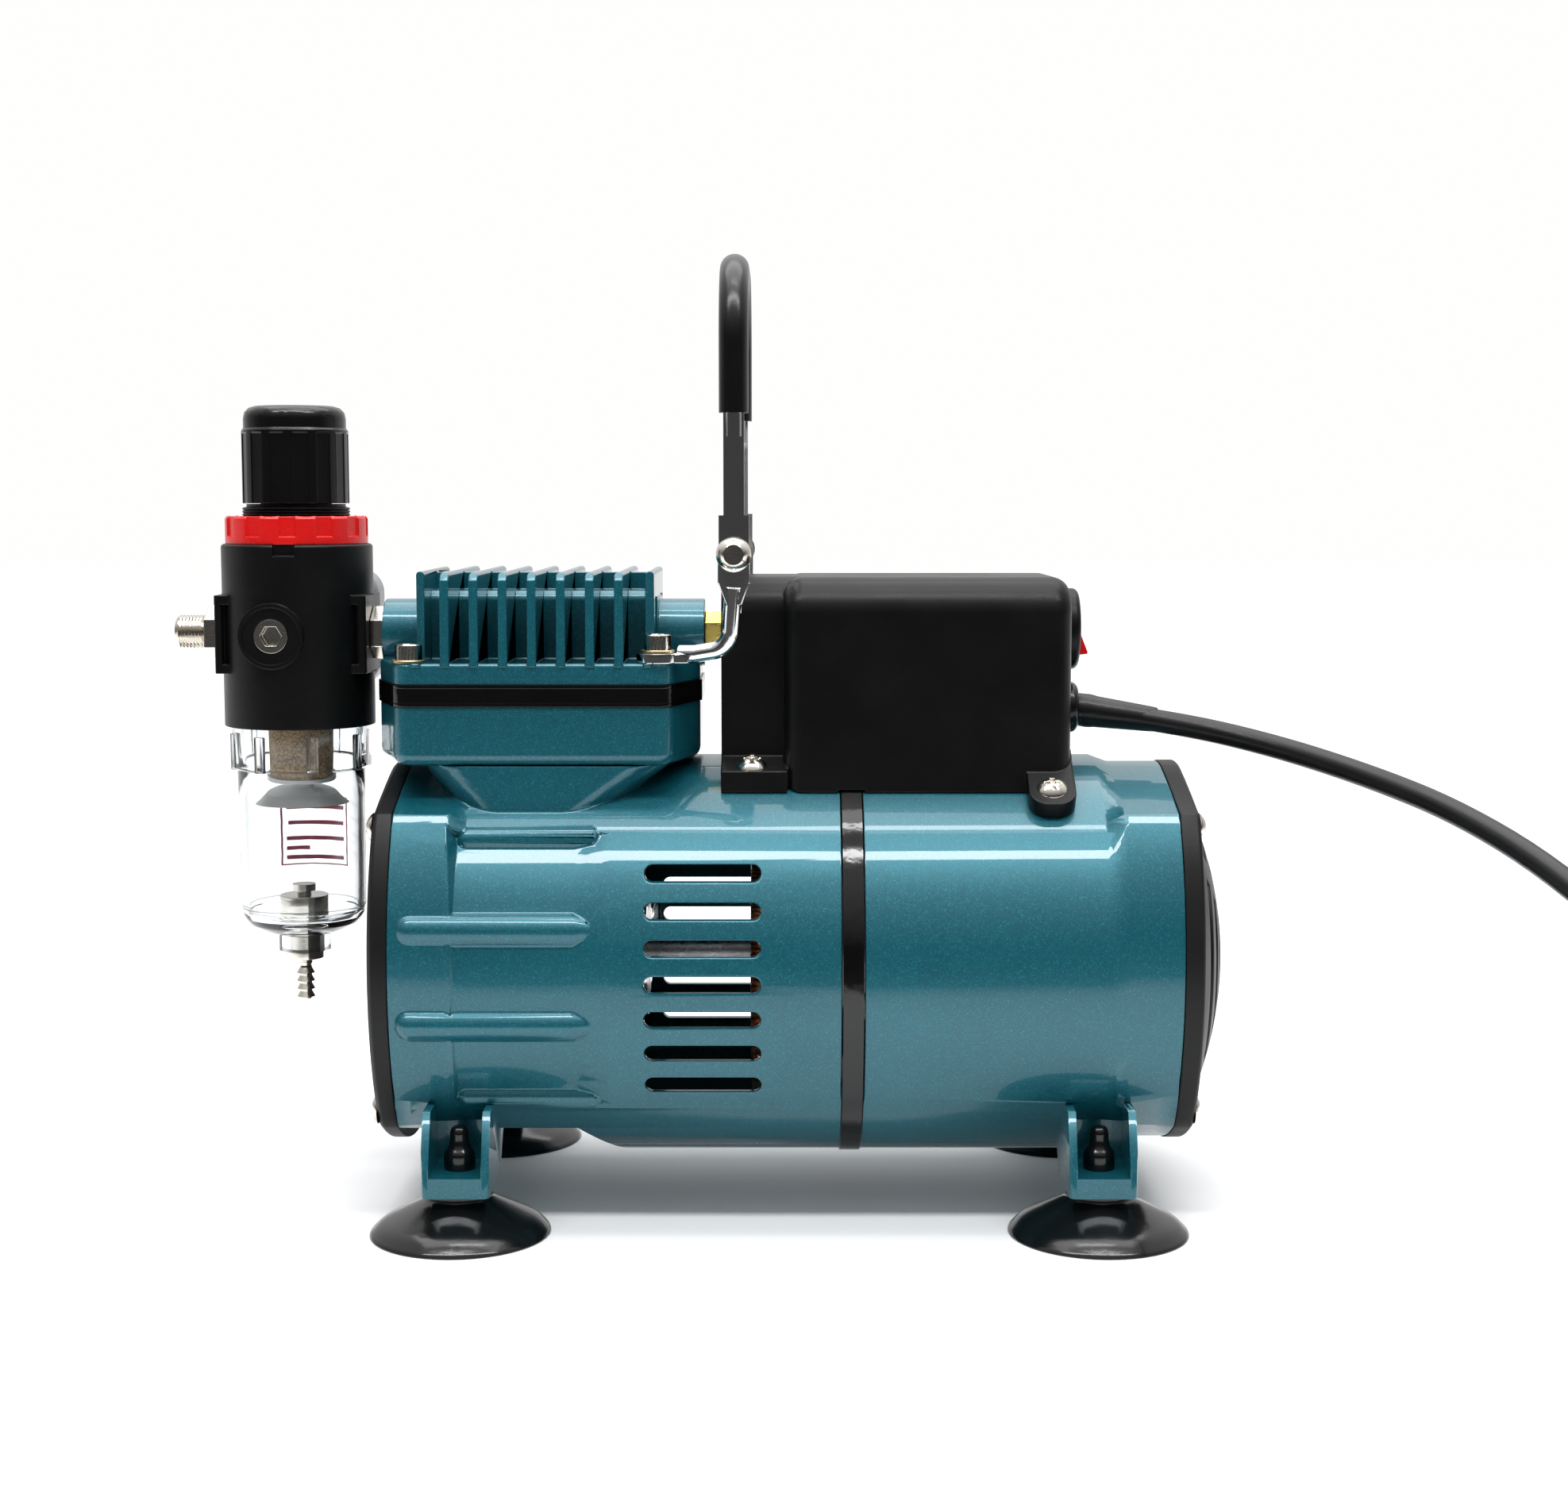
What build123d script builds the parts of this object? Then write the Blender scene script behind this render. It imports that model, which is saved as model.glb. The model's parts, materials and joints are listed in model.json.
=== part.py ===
"""Airbrush compressor: an oil-free piston compressor on suction feet, with a carrying handle,
a switch box and a filter regulator with a clear bowl.

Millimetres, +Z up. X runs along the shaft, from the regulator to the fan end, and -Y is the front.
Lengths are worked out from the middle of the four suction feet, with the floor at Z = 0. Each piece is
moved along X as it is saved, so that the origin lies under the middle of the object without its lead.
"""
import os
from math import asin, cos, hypot, pi, radians, sin, tan

from build123d import *

# ---- Frame -----------------------------------------------------------------------------------------
AXIS_Z = 65.5                 # height of the motor shaft
FIT = 0.2                     # gap between fixed neighbours
RUN = 0.05                    # radial clearance of a running fit

# ---- Barrel: crankcase at the left, motor housing at the right -------------------------------------
BARREL_R = 54.0
WALL = 2.6
FRONT_X = -99.9               # end face of the crankcase
BAND_X = (16.0, 21.8)         # rubber band between the housings
REAR_X = 103.4                # end face of the motor housing
FRONT_FLANGE = (-85.5, -81.0)  # where the squared end blends into the round barrel
REAR_FLANGE = (84.5, 89.5)
FLAT_BELLY_Z = 24.5           # the crankcase is cut flat below
BELLY_SLOPE = (-53.0, -38.0)  # and slopes back to the round barrel here
CORNER_TOP = (38.5, 42.5)     # corners of the squared ends, from the shaft axis
CORNER_LOW = (37.5, 39.5)
END_SIDE = 52.0               # half width, crown and belly of the squared ends
END_CROWN = 52.2
END_BELLY = 50.0
CROWN_EDGE = (9.0, 51.0)      # the straight slopes beside the crown end here
ROOM_R = END_BELLY - WALL     # round room inside the squared ends
BAY_R = 52.0                  # hollows between the ridges of the crankcase
BAY_X = (-83.2, -53.0)
BAY_RAMP_END = -43.0
RIDGE_PROUD = 0.5
VENT = {"x": (-34.5, -4.7), "tall": 4.2, "pitch": 9.13, "middle": 66.4, "each_side": 3}

# ---- End covers ------------------------------------------------------------------------------------
COVER_T = 5.2
DOME_R = 46.0
DOME_TIP_X = 120.0
COVER_SCREWS = ((36.0, 38.7), (36.0, -35.5))

# ---- Feet ------------------------------------------------------------------------------------------
FOOT_X, FOOT_Y = 82.6, 46.4
FOOT_WIDE = 17.4
FOOT_PLATE = (11.8, 17.0)
CUP_R = 23.5

# ---- Cylinder and head -----------------------------------------------------------------------------
HEAD_X = -64.0                # cylinder axis
HEAD_HALF = (42.8, 35.4, 34.0, 12.0)  # half length at the middle and at the face, half depths there
BLOCK_Z = (120.0, 135.5)
SEAL_T = 1.0
HEAD_Z = 141.2
HEAD_PLATE_T = 5.5
FIN_TOP_Z = 170.2
CHEST_TOP = 164.8
FIN_COUNT, FIN_SPAN, FIN_T = 9, 60.0, 2.3
PORT_Z, PORT_R = 153.0, 9.2
PORT_X = (-106.8, -20.2)
BORE_R = 19.0
LINER_T = 2.0
STROKE = 12.6
HEAD_SCREWS = (-96.4, -31.6, 29.5)    # left X, right X, half spacing in Y
M4_HEAD = (3.5, 4.0)                  # cap screw head radius and height

# ---- Handle ----------------------------------------------------------------------------------------
PIVOT = (-11.7, 174.9)        # X, Z of the rivets
ARM_Y = 33.0                  # middle of the handle's legs
HANDLE_TOP = 253.0
GRIP_R, GRIP_LOW = 3.8, 211.0

# ---- Switch box ------------------------------------------------------------------------------------
BOX_X = (-15.4, 76.7)
BOX_STEP_X = 1.2
BOX_FACE_Y, BOX_STEP_Y = 27.5, 20.0
BOX_TOP = 168.6
BOX_WALL = 2.2
SWITCH_Z, SWITCH_R = 154.0, 11.0
GROMMET_Z, GROMMET_R = 132.6, 6.9
EARS = [(-7.2, 59.1, 24.0), (71.0, 58.8, 34.0)]  # X, seat radius, and angle from the top of the barrel

# ---- Regulator -------------------------------------------------------------------------------------
REG_X = -130.8
REG_R, REG_Z = 20.2, (128.0, 177.1)
RING_R, RING_TOP = 19.0, 184.5
NECK_R, NECK_TOP = 14.4, 187.8
KNOB_R, KNOB_Z = 14.2, (187.9, 213.9)
BOWL_R, BOWL_TOP = 18.4, 128.0
OUTLET_TIP_X = -163.6
OUTLET_R = 4.86               # G 1/8 thread
GAUGE_Y = (24.0, 36.0)

# ---- Motor and crank -------------------------------------------------------------------------------
SHAFT_R = 5.0
STATOR_X, STATOR_BORE = (8.0, 60.0), 26.0
CRANK_DISC_X = (-57.7, -49.7)
ROD_X = (-68.2, -59.8)

# ---- Mains lead, 3 x 0.75 mm2 ------------------------------------------------------------------------
LEAD_R = 3.1
LEAD_ROUTE = [
    (84.2, 0.0, 131.6), (107.0, -3.5, 128.8), (131.0, -17.0, 124.0), (151.0, -41.0, 118.5),
    (166.0, -73.0, 113.0), (180.0, -106.0, 103.0), (197.0, -136.0, 84.0), (217.0, -158.0, 58.0),
    (242.0, -169.5, 31.0), (269.0, -167.0, 11.5), (290.0, -149.0, 3.1), (299.5, -122.0, 3.1),
    (299.0, -97.0, 3.1),
]
COIL_MIDDLE = (262.0, -90.0)
COIL_RADII = (22.5, 41.1)     # three turns side by side, in two layers
COIL_TOP = 4 * LEAD_R
PLUG_MIDDLE = (299.0, -22.0)
PLUG_R, PLUG_T = 17.5, 15.0

FRAME_X = -(OUTLET_TIP_X + DOME_TIP_X) / 2


def save(name, *solids):
    """Writes one node, as one solid or as a group of separate ones."""
    pieces = [solid for shape in solids for solid in shape.solids()]
    shape = pieces[0] if len(pieces) == 1 else Compound(pieces)
    export_step(Pos(FRAME_X, 0, 0) * shape, f"parts/{name}.step")


def block(x, y, z):
    """A box from its ends along each axis."""
    size = [high - low for low, high in (x, y, z)]
    return Pos(sum(x) / 2, sum(y) / 2, sum(z) / 2) * Box(*size)


def rod_x(radius, x, y=0.0, z=AXIS_Z):
    """A round bar along X."""
    return Pos(sum(x) / 2, y, z) * Rot(0, 90, 0) * Cylinder(radius, x[1] - x[0])


def rod_y(radius, y, x, z):
    """A round bar along Y."""
    return Pos(x, sum(y) / 2, z) * Rot(90, 0, 0) * Cylinder(radius, y[1] - y[0])


def rod_z(radius, z, x=0.0, y=0.0):
    """A round bar along Z."""
    return Pos(x, y, sum(z) / 2) * Cylinder(radius, z[1] - z[0])


def hex_x(across, x, z, y=0.0):
    """A hexagonal bar along X, from its width across flats."""
    face = Plane.YZ * RegularPolygon(across / 2, 6, major_radius=False, rotation=30)
    return Pos(x[0], y, z) * extrude(face, x[1] - x[0])


def turned_z(profile, x, y=0.0):
    """A solid of revolution about a vertical axis from its (radius, z) outline."""
    face = make_face(Plane.XZ * Polyline(*profile, close=True))
    return Pos(x, y, 0) * revolve(face, Axis.Z)


def turned_x(profile, y=0.0, z=AXIS_Z):
    """A solid of revolution about a line along X from its (x, radius) outline."""
    face = make_face(Plane.XZ * Polyline(*profile, close=True))
    return Pos(0, y, z) * revolve(face, Axis.X)


def front_and_back(shape):
    """The shape and its mirror image at the back."""
    return [shape, mirror(shape, Plane.XZ)]


def pan_head():
    """An M4 pan head with a cross recess that stands on the origin, pointing up."""
    head = Pos(0, 0, -2.9) * Sphere(5.0) & Pos(0, 0, 1.3) * Box(12, 12, 2.6)
    return head - Pos(0, 0, 2.0) * (Box(4.2, 1.0, 2.0) + Box(1.0, 4.2, 2.0))


# ---- Barrel ----------------------------------------------------------------------------------------
def end_points():
    """The corners of the squared ends and the points between them, round the shaft axis."""
    (cy, cz), (ty, tz), (ly, lz) = CROWN_EDGE, CORNER_TOP, CORNER_LOW
    slope = ((cy + ty) / 2, (cz + tz) / 2 + 0.3)
    right = [(0, END_CROWN), (cy, cz), slope, (ty, tz), (END_SIDE, 0), (ly, -lz), (0, -END_BELLY)]
    left = [(-y, z) for y, z in reversed(right[1:-1])]
    return right + left


def ring_of_arcs(points):
    """A closed outline in the YZ plane: arcs from every second point to the next, through the one between."""
    turned = points[-1:] + points[:-1]
    arcs = [ThreePointArc(*(turned + turned[:1])[k:k + 3]) for k in range(0, len(turned), 2)]
    return make_face([Plane.YZ * arc for arc in arcs])


def squared_end(grow=0.0):
    """The outline of the squared ends, or one that is larger all round."""
    scale = 1 + grow / END_SIDE
    return ring_of_arcs([(y * scale, z * scale) for y, z in end_points()])


def round_barrel():
    """The barrel's circle, cut at the same corners as the squared ends."""
    return ring_of_arcs([(y * BARREL_R / hypot(y, z), z * BARREL_R / hypot(y, z)) for y, z in end_points()])


def at_x(face, x):
    """An outline of the barrel at a station along the shaft."""
    return Pos(x, 0, AXIS_Z) * face


def squared_to_round(end_x, flange, far_x):
    """A barrel that is squared from end_x to the flange and round from there to far_x."""
    square, bridge_end = flange
    shape = extrude(at_x(squared_end(), end_x), square - end_x, dir=(1, 0, 0))
    shape += loft([at_x(squared_end(), square), at_x(round_barrel(), bridge_end)], ruled=True)
    return shape + rod_x(BARREL_R, sorted((bridge_end, far_x)))


def belly_cut(thickness):
    """What the flat underside of the crankcase takes off the barrel."""
    level = FLAT_BELLY_Z + thickness
    start, end = BELLY_SLOPE
    low = AXIS_Z - BARREL_R - 1
    outline = [(-110, low - 10), (-110, level), (start, level), (end, low + thickness), (end, low - 10)]
    face = make_face(Plane.XZ * Polyline(*outline, close=True))
    return extrude(face, 60, both=True)


def rib(x, angle, radius, proud, tail):
    """A rounded rib along the barrel, with a round nose and a tapered tail."""
    reach = BARREL_R + proud - radius
    y, z = -reach * cos(radians(angle)), AXIS_Z + reach * sin(radians(angle))
    start, end = x
    outline = [(start + radius, 0), (start + radius, radius), (end - tail, radius)]
    outline += [(end, 0.4 * radius), (end, 0)]
    bar = turned_x(outline, y, z)
    return bar + Pos(start + radius, y, z) * Sphere(radius)


def bay():
    """The hollow between the top and the bottom ridge, which rises to the barrel along a ramp."""
    start, end = BAY_X
    outline = [
        (start - 3.8, 59.0), (start, BAY_R), (end, BAY_R), (BAY_RAMP_END, BARREL_R + 0.05), (BAY_RAMP_END, 59.0)
    ]
    wedge = make_face(Plane.YZ * Polyline((0, 0), (-70, -52.4), (-70, 68.8), close=True))
    return turned_x(outline) & Pos(-90, 0, AXIS_Z) * extrude(wedge, 50, dir=(1, 0, 0))


def foot_bracket(side):
    """One cast bracket, a channel that is open to the front, at the left (-1) or the right (1)."""
    plate_low, plate_top = FOOT_PLATE
    half = FOOT_WIDE / 2
    gusset = block((-half, half), (-57, 0), (plate_low, 33))
    gusset = fillet(gusset.edges().filter_by(Axis.Z).group_by(Axis.Y)[0], 1.8)
    side_view = [(-57, 0), (-57, 19.5), (-51.5, 33), (-20, 33), (-20, 26), (-33, 11), (-36, 0)]
    gusset &= extrude(make_face(Plane.YZ * Polyline(*side_view, close=True)), 40, both=True)
    pocket = block((-half + 2.0, half - 2.0), (-60, -38.5), (plate_top, 40))
    hole = rod_z(3.4, (0, 30), 0, -FOOT_Y)
    return Pos(side * FOOT_X, 0, 0) * (gusset - pocket - hole)


def vents():
    """The cooling slots, cut straight through the front and the back."""
    low, high = VENT["x"]
    slot = extrude(Plane.XZ * SlotOverall(high - low, VENT["tall"]), 70, both=True)
    count = VENT["each_side"]
    heights = [VENT["middle"] + VENT["pitch"] * k for k in range(-count, count + 1)]
    return [Pos((low + high) / 2, 0, z) * slot for z in heights]


def cylinder_plan(inset=0.0):
    """The plan of the cylinder block and head: a rectangle with long cut corners."""
    half, face, deep, shallow = HEAD_HALF
    quarter = [(half, shallow), (face, deep)]
    points = quarter + [(-x, y) for x, y in reversed(quarter)]
    points += [(-x, -y) for x, y in points]
    outline = make_face(Polyline(*points, close=True))
    outline = fillet(outline.vertices(), 5.0)
    return Pos(HEAD_X, 0, 0) * (offset(outline, -inset) if inset else outline)


def slab(face, z):
    """A plate of the given plan between two heights."""
    return Pos(0, 0, z[0]) * extrude(face, z[1] - z[0], dir=(0, 0, 1))


def cylinder_block():
    """The block on the crankcase that holds the cylinder, with its tapered neck."""
    body = slab(cylinder_plan(), BLOCK_Z)
    body = fillet(body.faces().sort_by(Axis.Z)[0].edges(), 3.2)
    wide = Pos(HEAD_X + 2.9, 0, BLOCK_Z[0]) * RectangleRounded(66, 66, 12)
    narrow = Pos(HEAD_X - 1.6, 0, 106) * RectangleRounded(36, 67, 12)
    foot = Pos(0, 0, 96 - 106) * extrude(narrow, 10, dir=(0, 0, 1))
    return body + loft([narrow, wide]) + foot


def crankcase_housing():
    """Crankcase casting: barrel, ribs, cylinder block and two foot brackets."""
    shell = squared_to_round(FRONT_X, FRONT_FLANGE, BAND_X[0]) - belly_cut(0)
    for hollow in front_and_back(bay()):
        shell -= hollow
    for piece in (
        rib((-84.0, -44.0), 44.5, 3.6, RIDGE_PROUD, 4.0),
        rib((-98.6, -43.5), 16.2, 4.6, RIDGE_PROUD, 9.0),
        rib((-98.6, -43.5), -11.6, 4.2, RIDGE_PROUD, 9.0),
        rib((-84.0, -44.0), -36.8, 3.2, RIDGE_PROUD, 4.0),
        foot_bracket(-1),
    ):
        shell += front_and_back(piece)
    shell += cylinder_block()
    room = rod_x(ROOM_R, (FRONT_X, BAY_RAMP_END)) + rod_x(BARREL_R - WALL, (BAY_RAMP_END, BAND_X[0]))
    room -= belly_cut(WALL)
    web = rod_x(BARREL_R, (-44.0, -36.0)) - rod_x(13.0 + RUN, (-44.0, -36.0))
    spokes = rod_x(BARREL_R, (-46.0, -34.0)) - rod_x(18.0, (-46.0, -34.0))
    bar = block((-44, -36), (-54, 54), (AXIS_Z - 7, AXIS_Z + 7))
    room -= web - spokes + bar - rod_x(13.0 + RUN, (-46, -34))
    shell -= room
    shell -= vents()
    shell -= rod_z(BORE_R + LINER_T + FIT, (AXIS_Z, BLOCK_Z[1]), HEAD_X)
    for x in HEAD_SCREWS[:2]:
        for y in (-HEAD_SCREWS[2], HEAD_SCREWS[2]):
            shell -= rod_z(2.0 + FIT, (BLOCK_Z[1] - 10, BLOCK_Z[1]), x, y)
    return shell


def motor_housing():
    """Motor casting: round barrel with a squared rear end and two foot brackets."""
    shell = squared_to_round(REAR_X, REAR_FLANGE[::-1], BAND_X[1])
    shell += front_and_back(foot_bracket(1))
    room = rod_x(ROOM_R, (REAR_FLANGE[0], REAR_X)) + rod_x(BARREL_R - WALL, (BAND_X[1], REAR_FLANGE[0]))
    return shell - room


def joint_band():
    """The rubber band that seals the joint between the two castings."""
    ring = rod_x(BARREL_R + 0.5, BAND_X) - rod_x(BARREL_R - WALL, BAND_X)
    return chamfer(ring.edges().filter_by(GeomType.CIRCLE).group_by(SortBy.RADIUS)[-1], 0.3)


def front_cover():
    """Cover plate over the crank chamber, with a rim that locates it."""
    plate = extrude(at_x(squared_end(0.3), FRONT_X - COVER_T), COVER_T, dir=(1, 0, 0))
    plate = chamfer(plate.faces().sort_by(Axis.X)[0].edges(), 1.2)
    rim_r = ROOM_R - FIT
    rim = rod_x(rim_r, (FRONT_X, FRONT_X + 4)) - rod_x(rim_r - 2, (FRONT_X, FRONT_X + 4))
    panel = rod_x(33, (FRONT_X - COVER_T, FRONT_X - COVER_T + 1)) - rod_x(30, (FRONT_X - COVER_T, FRONT_X))
    return plate + (rim - belly_cut(WALL + FIT)) - panel


def dome(base_x, radius, tip_x):
    """A spherical cap on a base along the shaft, with its tip to the right."""
    rise = tip_x - base_x
    crown = (radius ** 2 + rise ** 2) / (2 * rise)
    half = asin(radius / crown) / 2
    bend = (tip_x - crown + crown * cos(half), crown * sin(half))
    arc = ThreePointArc((base_x, radius), bend, (tip_x, 0))
    straight = Polyline((tip_x, 0), (base_x, 0), (base_x, radius))
    face = make_face([Plane.XZ * edge for edge in (arc, straight)])
    return Pos(0, 0, AXIS_Z) * revolve(face, Axis.X)


def rear_cover():
    """Domed cover over the fan, with ring-shaped air slots."""
    x0, x1 = REAR_X, REAR_X + COVER_T
    plate = extrude(at_x(squared_end(0.3), x0), COVER_T, dir=(1, 0, 0))
    plate = chamfer(plate.faces().sort_by(Axis.X)[-1].edges(), 0.8)
    cover = plate + dome(x1, DOME_R, DOME_TIP_X) - dome(x0, DOME_R - 3, DOME_TIP_X - 2.6)
    for radius in (16.0, 23.0, 30.0, 37.0):
        ring = rod_x(radius + 1.6, (x1, DOME_TIP_X + 1)) - rod_x(radius - 1.6, (x1, DOME_TIP_X + 1))
        for turn in range(4):
            spoke = Rot(90 * turn + 45, 0, 0) * block((x1 - 1, DOME_TIP_X + 2), (-3.5, 3.5), (0, 60))
            ring -= Pos(0, 0, AXIS_Z) * spoke
        cover -= ring
    return cover


def cover_screws():
    """Four pan head screws in each end cover."""
    screws = []
    for end_x, out in ((FRONT_X - COVER_T, -1), (REAR_X + COVER_T, 1)):
        for y, z in COVER_SCREWS:
            for hand in (-1, 1):
                turn = Rot(0, out * 90, 0)
                screws.append(Pos(end_x, hand * y, AXIS_Z + z) * turn * pan_head())
    return screws


def suction_feet():
    """A pair of suction cups whose rubber necks are pulled up through their brackets."""
    plate_low, plate_top = FOOT_PLATE
    outline = [
        (0, 3.4), (9, 4.2), (15.5, 2.4), (20.5, 0), (CUP_R, 0), (CUP_R - 0.2, 0.9), (20.2, 3.5), (15.7, 5.8),
        (9.6, 9.0), (8.6, 9.8), (8.4, plate_low), (3.3, plate_low), (3.3, plate_top), (4.1, plate_top),
        (3.9, 21.5), (2.5, 23.2), (2.4, 27.0), (1.5, 28.2), (0, 28.2),
    ]
    return [turned_z(outline, side * FOOT_X) for side in (-1, 1)]


# ---- Cylinder and head -----------------------------------------------------------------------------
def screw_holes(shape, z):
    """The shape with the clearance holes of the four head screws."""
    for x in HEAD_SCREWS[:2]:
        for y in (-HEAD_SCREWS[2], HEAD_SCREWS[2]):
            shape -= rod_z(2.0 + FIT, z, x, y)
    return shape


def seal_plate(z):
    """A plate of the cylinder's plan with two valve ports."""
    plate = slab(cylinder_plan(-0.5), z)
    for x in (-9.0, 9.0):
        plate -= rod_z(3.0, z, HEAD_X + x)
    return screw_holes(plate, z)


def gaskets():
    """The gaskets below and above the valve plate."""
    lower = slab(cylinder_plan(-0.5), (BLOCK_Z[1], BLOCK_Z[1] + SEAL_T)) - rod_z(BORE_R, (100, 150), HEAD_X)
    upper = seal_plate((HEAD_Z - SEAL_T, HEAD_Z))
    return screw_holes(lower, (130, 150)), upper


def valve_reeds():
    """The intake reed below the valve plate and the outlet reed above it."""
    strip = Pos(HEAD_X, 0, 0) * SlotOverall(19, 8, rotation=90)
    low = BLOCK_Z[1] + SEAL_T
    intake = slab(Pos(-9, 0, 0) * strip, (low - 0.5, low - 0.1))
    return intake, slab(Pos(9, 0, 0) * strip, (HEAD_Z + 0.1, HEAD_Z + 0.5))


def cylinder_head():
    """Finned head casting with a port boss at each end."""
    top = HEAD_Z + HEAD_PLATE_T
    plate = slab(cylinder_plan(), (HEAD_Z, top))
    plate = fillet(plate.faces().sort_by(Axis.Z)[-1].edges(), 1.0)
    chest = block((HEAD_X - 31.5, HEAD_X + 31.5), (-13.0, 13.0), (top - 1, CHEST_TOP))
    chest = fillet(chest.faces().sort_by(Axis.Z)[-1].edges(), 2.8)
    head = plate + chest + rod_x(PORT_R, PORT_X, 0, PORT_Z)
    step = FIN_SPAN / (FIN_COUNT - 1)
    for k in range(FIN_COUNT):
        x = HEAD_X - FIN_SPAN / 2 + k * step
        outline = [(-34.5, top - 1), (-33.5, FIN_TOP_Z - 2), (-31.5, FIN_TOP_Z)]
        outline += [(-y, z) for y, z in reversed(outline)]
        face = make_face(Plane.YZ * Polyline(*outline, close=True))
        fin = Pos(x - FIN_T / 2, 0, 0) * extrude(face, FIN_T, dir=(1, 0, 0))
        head += chamfer(fin.edges().filter_by(Axis.Y).group_by(Axis.Z)[-1], 0.6)
    spine_x = (HEAD_X - FIN_SPAN / 2, HEAD_X + FIN_SPAN / 2)
    head += block(spine_x, (-2.0, 2.0), (160, FIN_TOP_Z - 0.8))
    for x in (-9.0, 9.0):
        head -= block((HEAD_X + x - 7, HEAD_X + x + 7), (-10.5, 10.5), (HEAD_Z - 1, 158))
    for outer, x in ((PORT_X[0], HEAD_X - 9), (PORT_X[1], HEAD_X + 9)):
        head -= rod_x(4.4, sorted((outer, x)), 0, PORT_Z)
    for x in HEAD_SCREWS[:2]:
        for y in (-HEAD_SCREWS[2], HEAD_SCREWS[2]):
            head -= rod_z(6.2, (top, 175), x, y)
    return screw_holes(head, (140, 150))


def head_screws():
    """Four socket cap screws with their washers, raised on the right by the handle brackets."""
    screws = []
    seat = HEAD_Z + HEAD_PLATE_T
    for x, lift in ((HEAD_SCREWS[0], 0.0), (HEAD_SCREWS[1], 2.6)):
        for y in (-HEAD_SCREWS[2], HEAD_SCREWS[2]):
            low = seat + lift
            washer = rod_z(4.4, (low, low + 0.8))
            head = rod_z(M4_HEAD[0], (low + 0.8, low + 0.8 + M4_HEAD[1]))
            head = chamfer(head.faces().sort_by(Axis.Z)[-1].edges(), 0.35)
            socket = slab(RegularPolygon(1.5, 6, major_radius=False), (low + 2.6, low + 6))
            shank = rod_z(2.0, (BLOCK_Z[1] - 8, low + 1))
            screws.append(Pos(x, y, 0) * (washer + head - socket + shank))
    return screws


def cylinder_liner():
    """The honed sleeve that the piston seal runs in."""
    return rod_z(BORE_R + LINER_T, (101.0, BLOCK_Z[1]), HEAD_X) - rod_z(BORE_R, (100, 140), HEAD_X)


# ---- Crank, piston and motor -----------------------------------------------------------------------
def crank_disc():
    """The crank disc with its balance weight."""
    middle, low = AXIS_Z, AXIS_Z - STROKE / 2
    disc = rod_x(13.5, CRANK_DISC_X)
    fan_shape = make_face(Plane.YZ * Polyline((0, 0), (-22, 22), (0, 30), (22, 22), close=True))
    weight = Pos(CRANK_DISC_X[0], 0, middle) * extrude(fan_shape, 8, dir=(1, 0, 0))
    disc += weight & rod_x(24, CRANK_DISC_X)
    return disc - rod_x(SHAFT_R, CRANK_DISC_X) - rod_x(3.2, (CRANK_DISC_X[0], CRANK_DISC_X[0] + 5), 0, low)


def crank_pin():
    """The crank pin, held in the rod's bearing."""
    return rod_x(3.0, (ROD_X[0] - 1, CRANK_DISC_X[0] - 0.5), 0, AXIS_Z - STROKE / 2)


def connecting_rod():
    """The one-piece rod and rocking piston, at the bottom of its stroke."""
    low = AXIS_Z - STROKE / 2
    crown = BLOCK_Z[1] - 1.0 - STROKE
    middle = sum(ROD_X) / 2
    eye = rod_x(11.0, ROD_X, 0, low)
    beam = block((middle - 2, middle + 2), (-6, 6), (low, crown - 5))
    piston = rod_z(17.6, (crown - 7, crown), HEAD_X)
    return eye + beam + piston - rod_x(8.0, ROD_X, 0, low) - rod_z(15, (crown - 3, crown), HEAD_X)


def rod_bearing():
    """The sealed ball bearing in the rod's big end."""
    low = AXIS_Z - STROKE / 2
    x = (ROD_X[0] + 0.5, ROD_X[1] - 0.5)
    return rod_x(8.0, x, 0, low) - rod_x(3.0, x, 0, low)


def piston_cup():
    """The cup seal and the disc that clamps it on the piston."""
    crown = BLOCK_Z[1] - 1.0 - STROKE
    z = (crown - 6, crown - 1.5)
    lip = rod_z(BORE_R - RUN, z, HEAD_X) - rod_z(17.6, z, HEAD_X)
    return lip, rod_z(15, (crown - 3, crown), HEAD_X)


def motor_shaft():
    """The motor shaft, from the crank disc to the rear bearing."""
    return rod_x(SHAFT_R, (CRANK_DISC_X[0] + 0.5, 101.0))


def rotor():
    """The laminated rotor with its cast end rings."""
    x0, x1 = STATOR_X
    body = rod_x(STATOR_BORE - 0.5, STATOR_X) + rod_x(21, (x0 - 5, x1 + 5))
    return body - rod_x(SHAFT_R, (x0 - 6, x1 + 6))


def cooling_fan():
    """Plastic fan behind the motor."""
    hub = rod_x(11, (79, 90))
    for k in range(7):
        blade = Pos(84.5, 0, 25) * Rot(0, 0, 38) * Box(12, 1.6, 34)
        hub += Pos(0, 0, AXIS_Z) * Rot(360 / 7 * k, 0, 0) * blade
    return hub - rod_x(SHAFT_R, (70, 95)) & rod_x(42, (70, 95))


def stator_core():
    """Lamination stack, pressed into the motor casting."""
    core = rod_x(BARREL_R - WALL - FIT, STATOR_X) - rod_x(STATOR_BORE, STATOR_X)
    for k in range(12):
        slot = block(STATOR_X, (-3.2, 3.2), (STATOR_BORE + 3, 40))
        core -= Pos(0, 0, AXIS_Z) * Rot(30 * k, 0, 0) * slot
    for k in range(4):
        flat = block((STATOR_X[0] - 1, STATOR_X[1] + 1), (-12, 12), (48.5, 60))
        core -= Pos(0, 0, AXIS_Z) * Rot(45 + 90 * k, 0, 0) * flat
    return core


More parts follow.
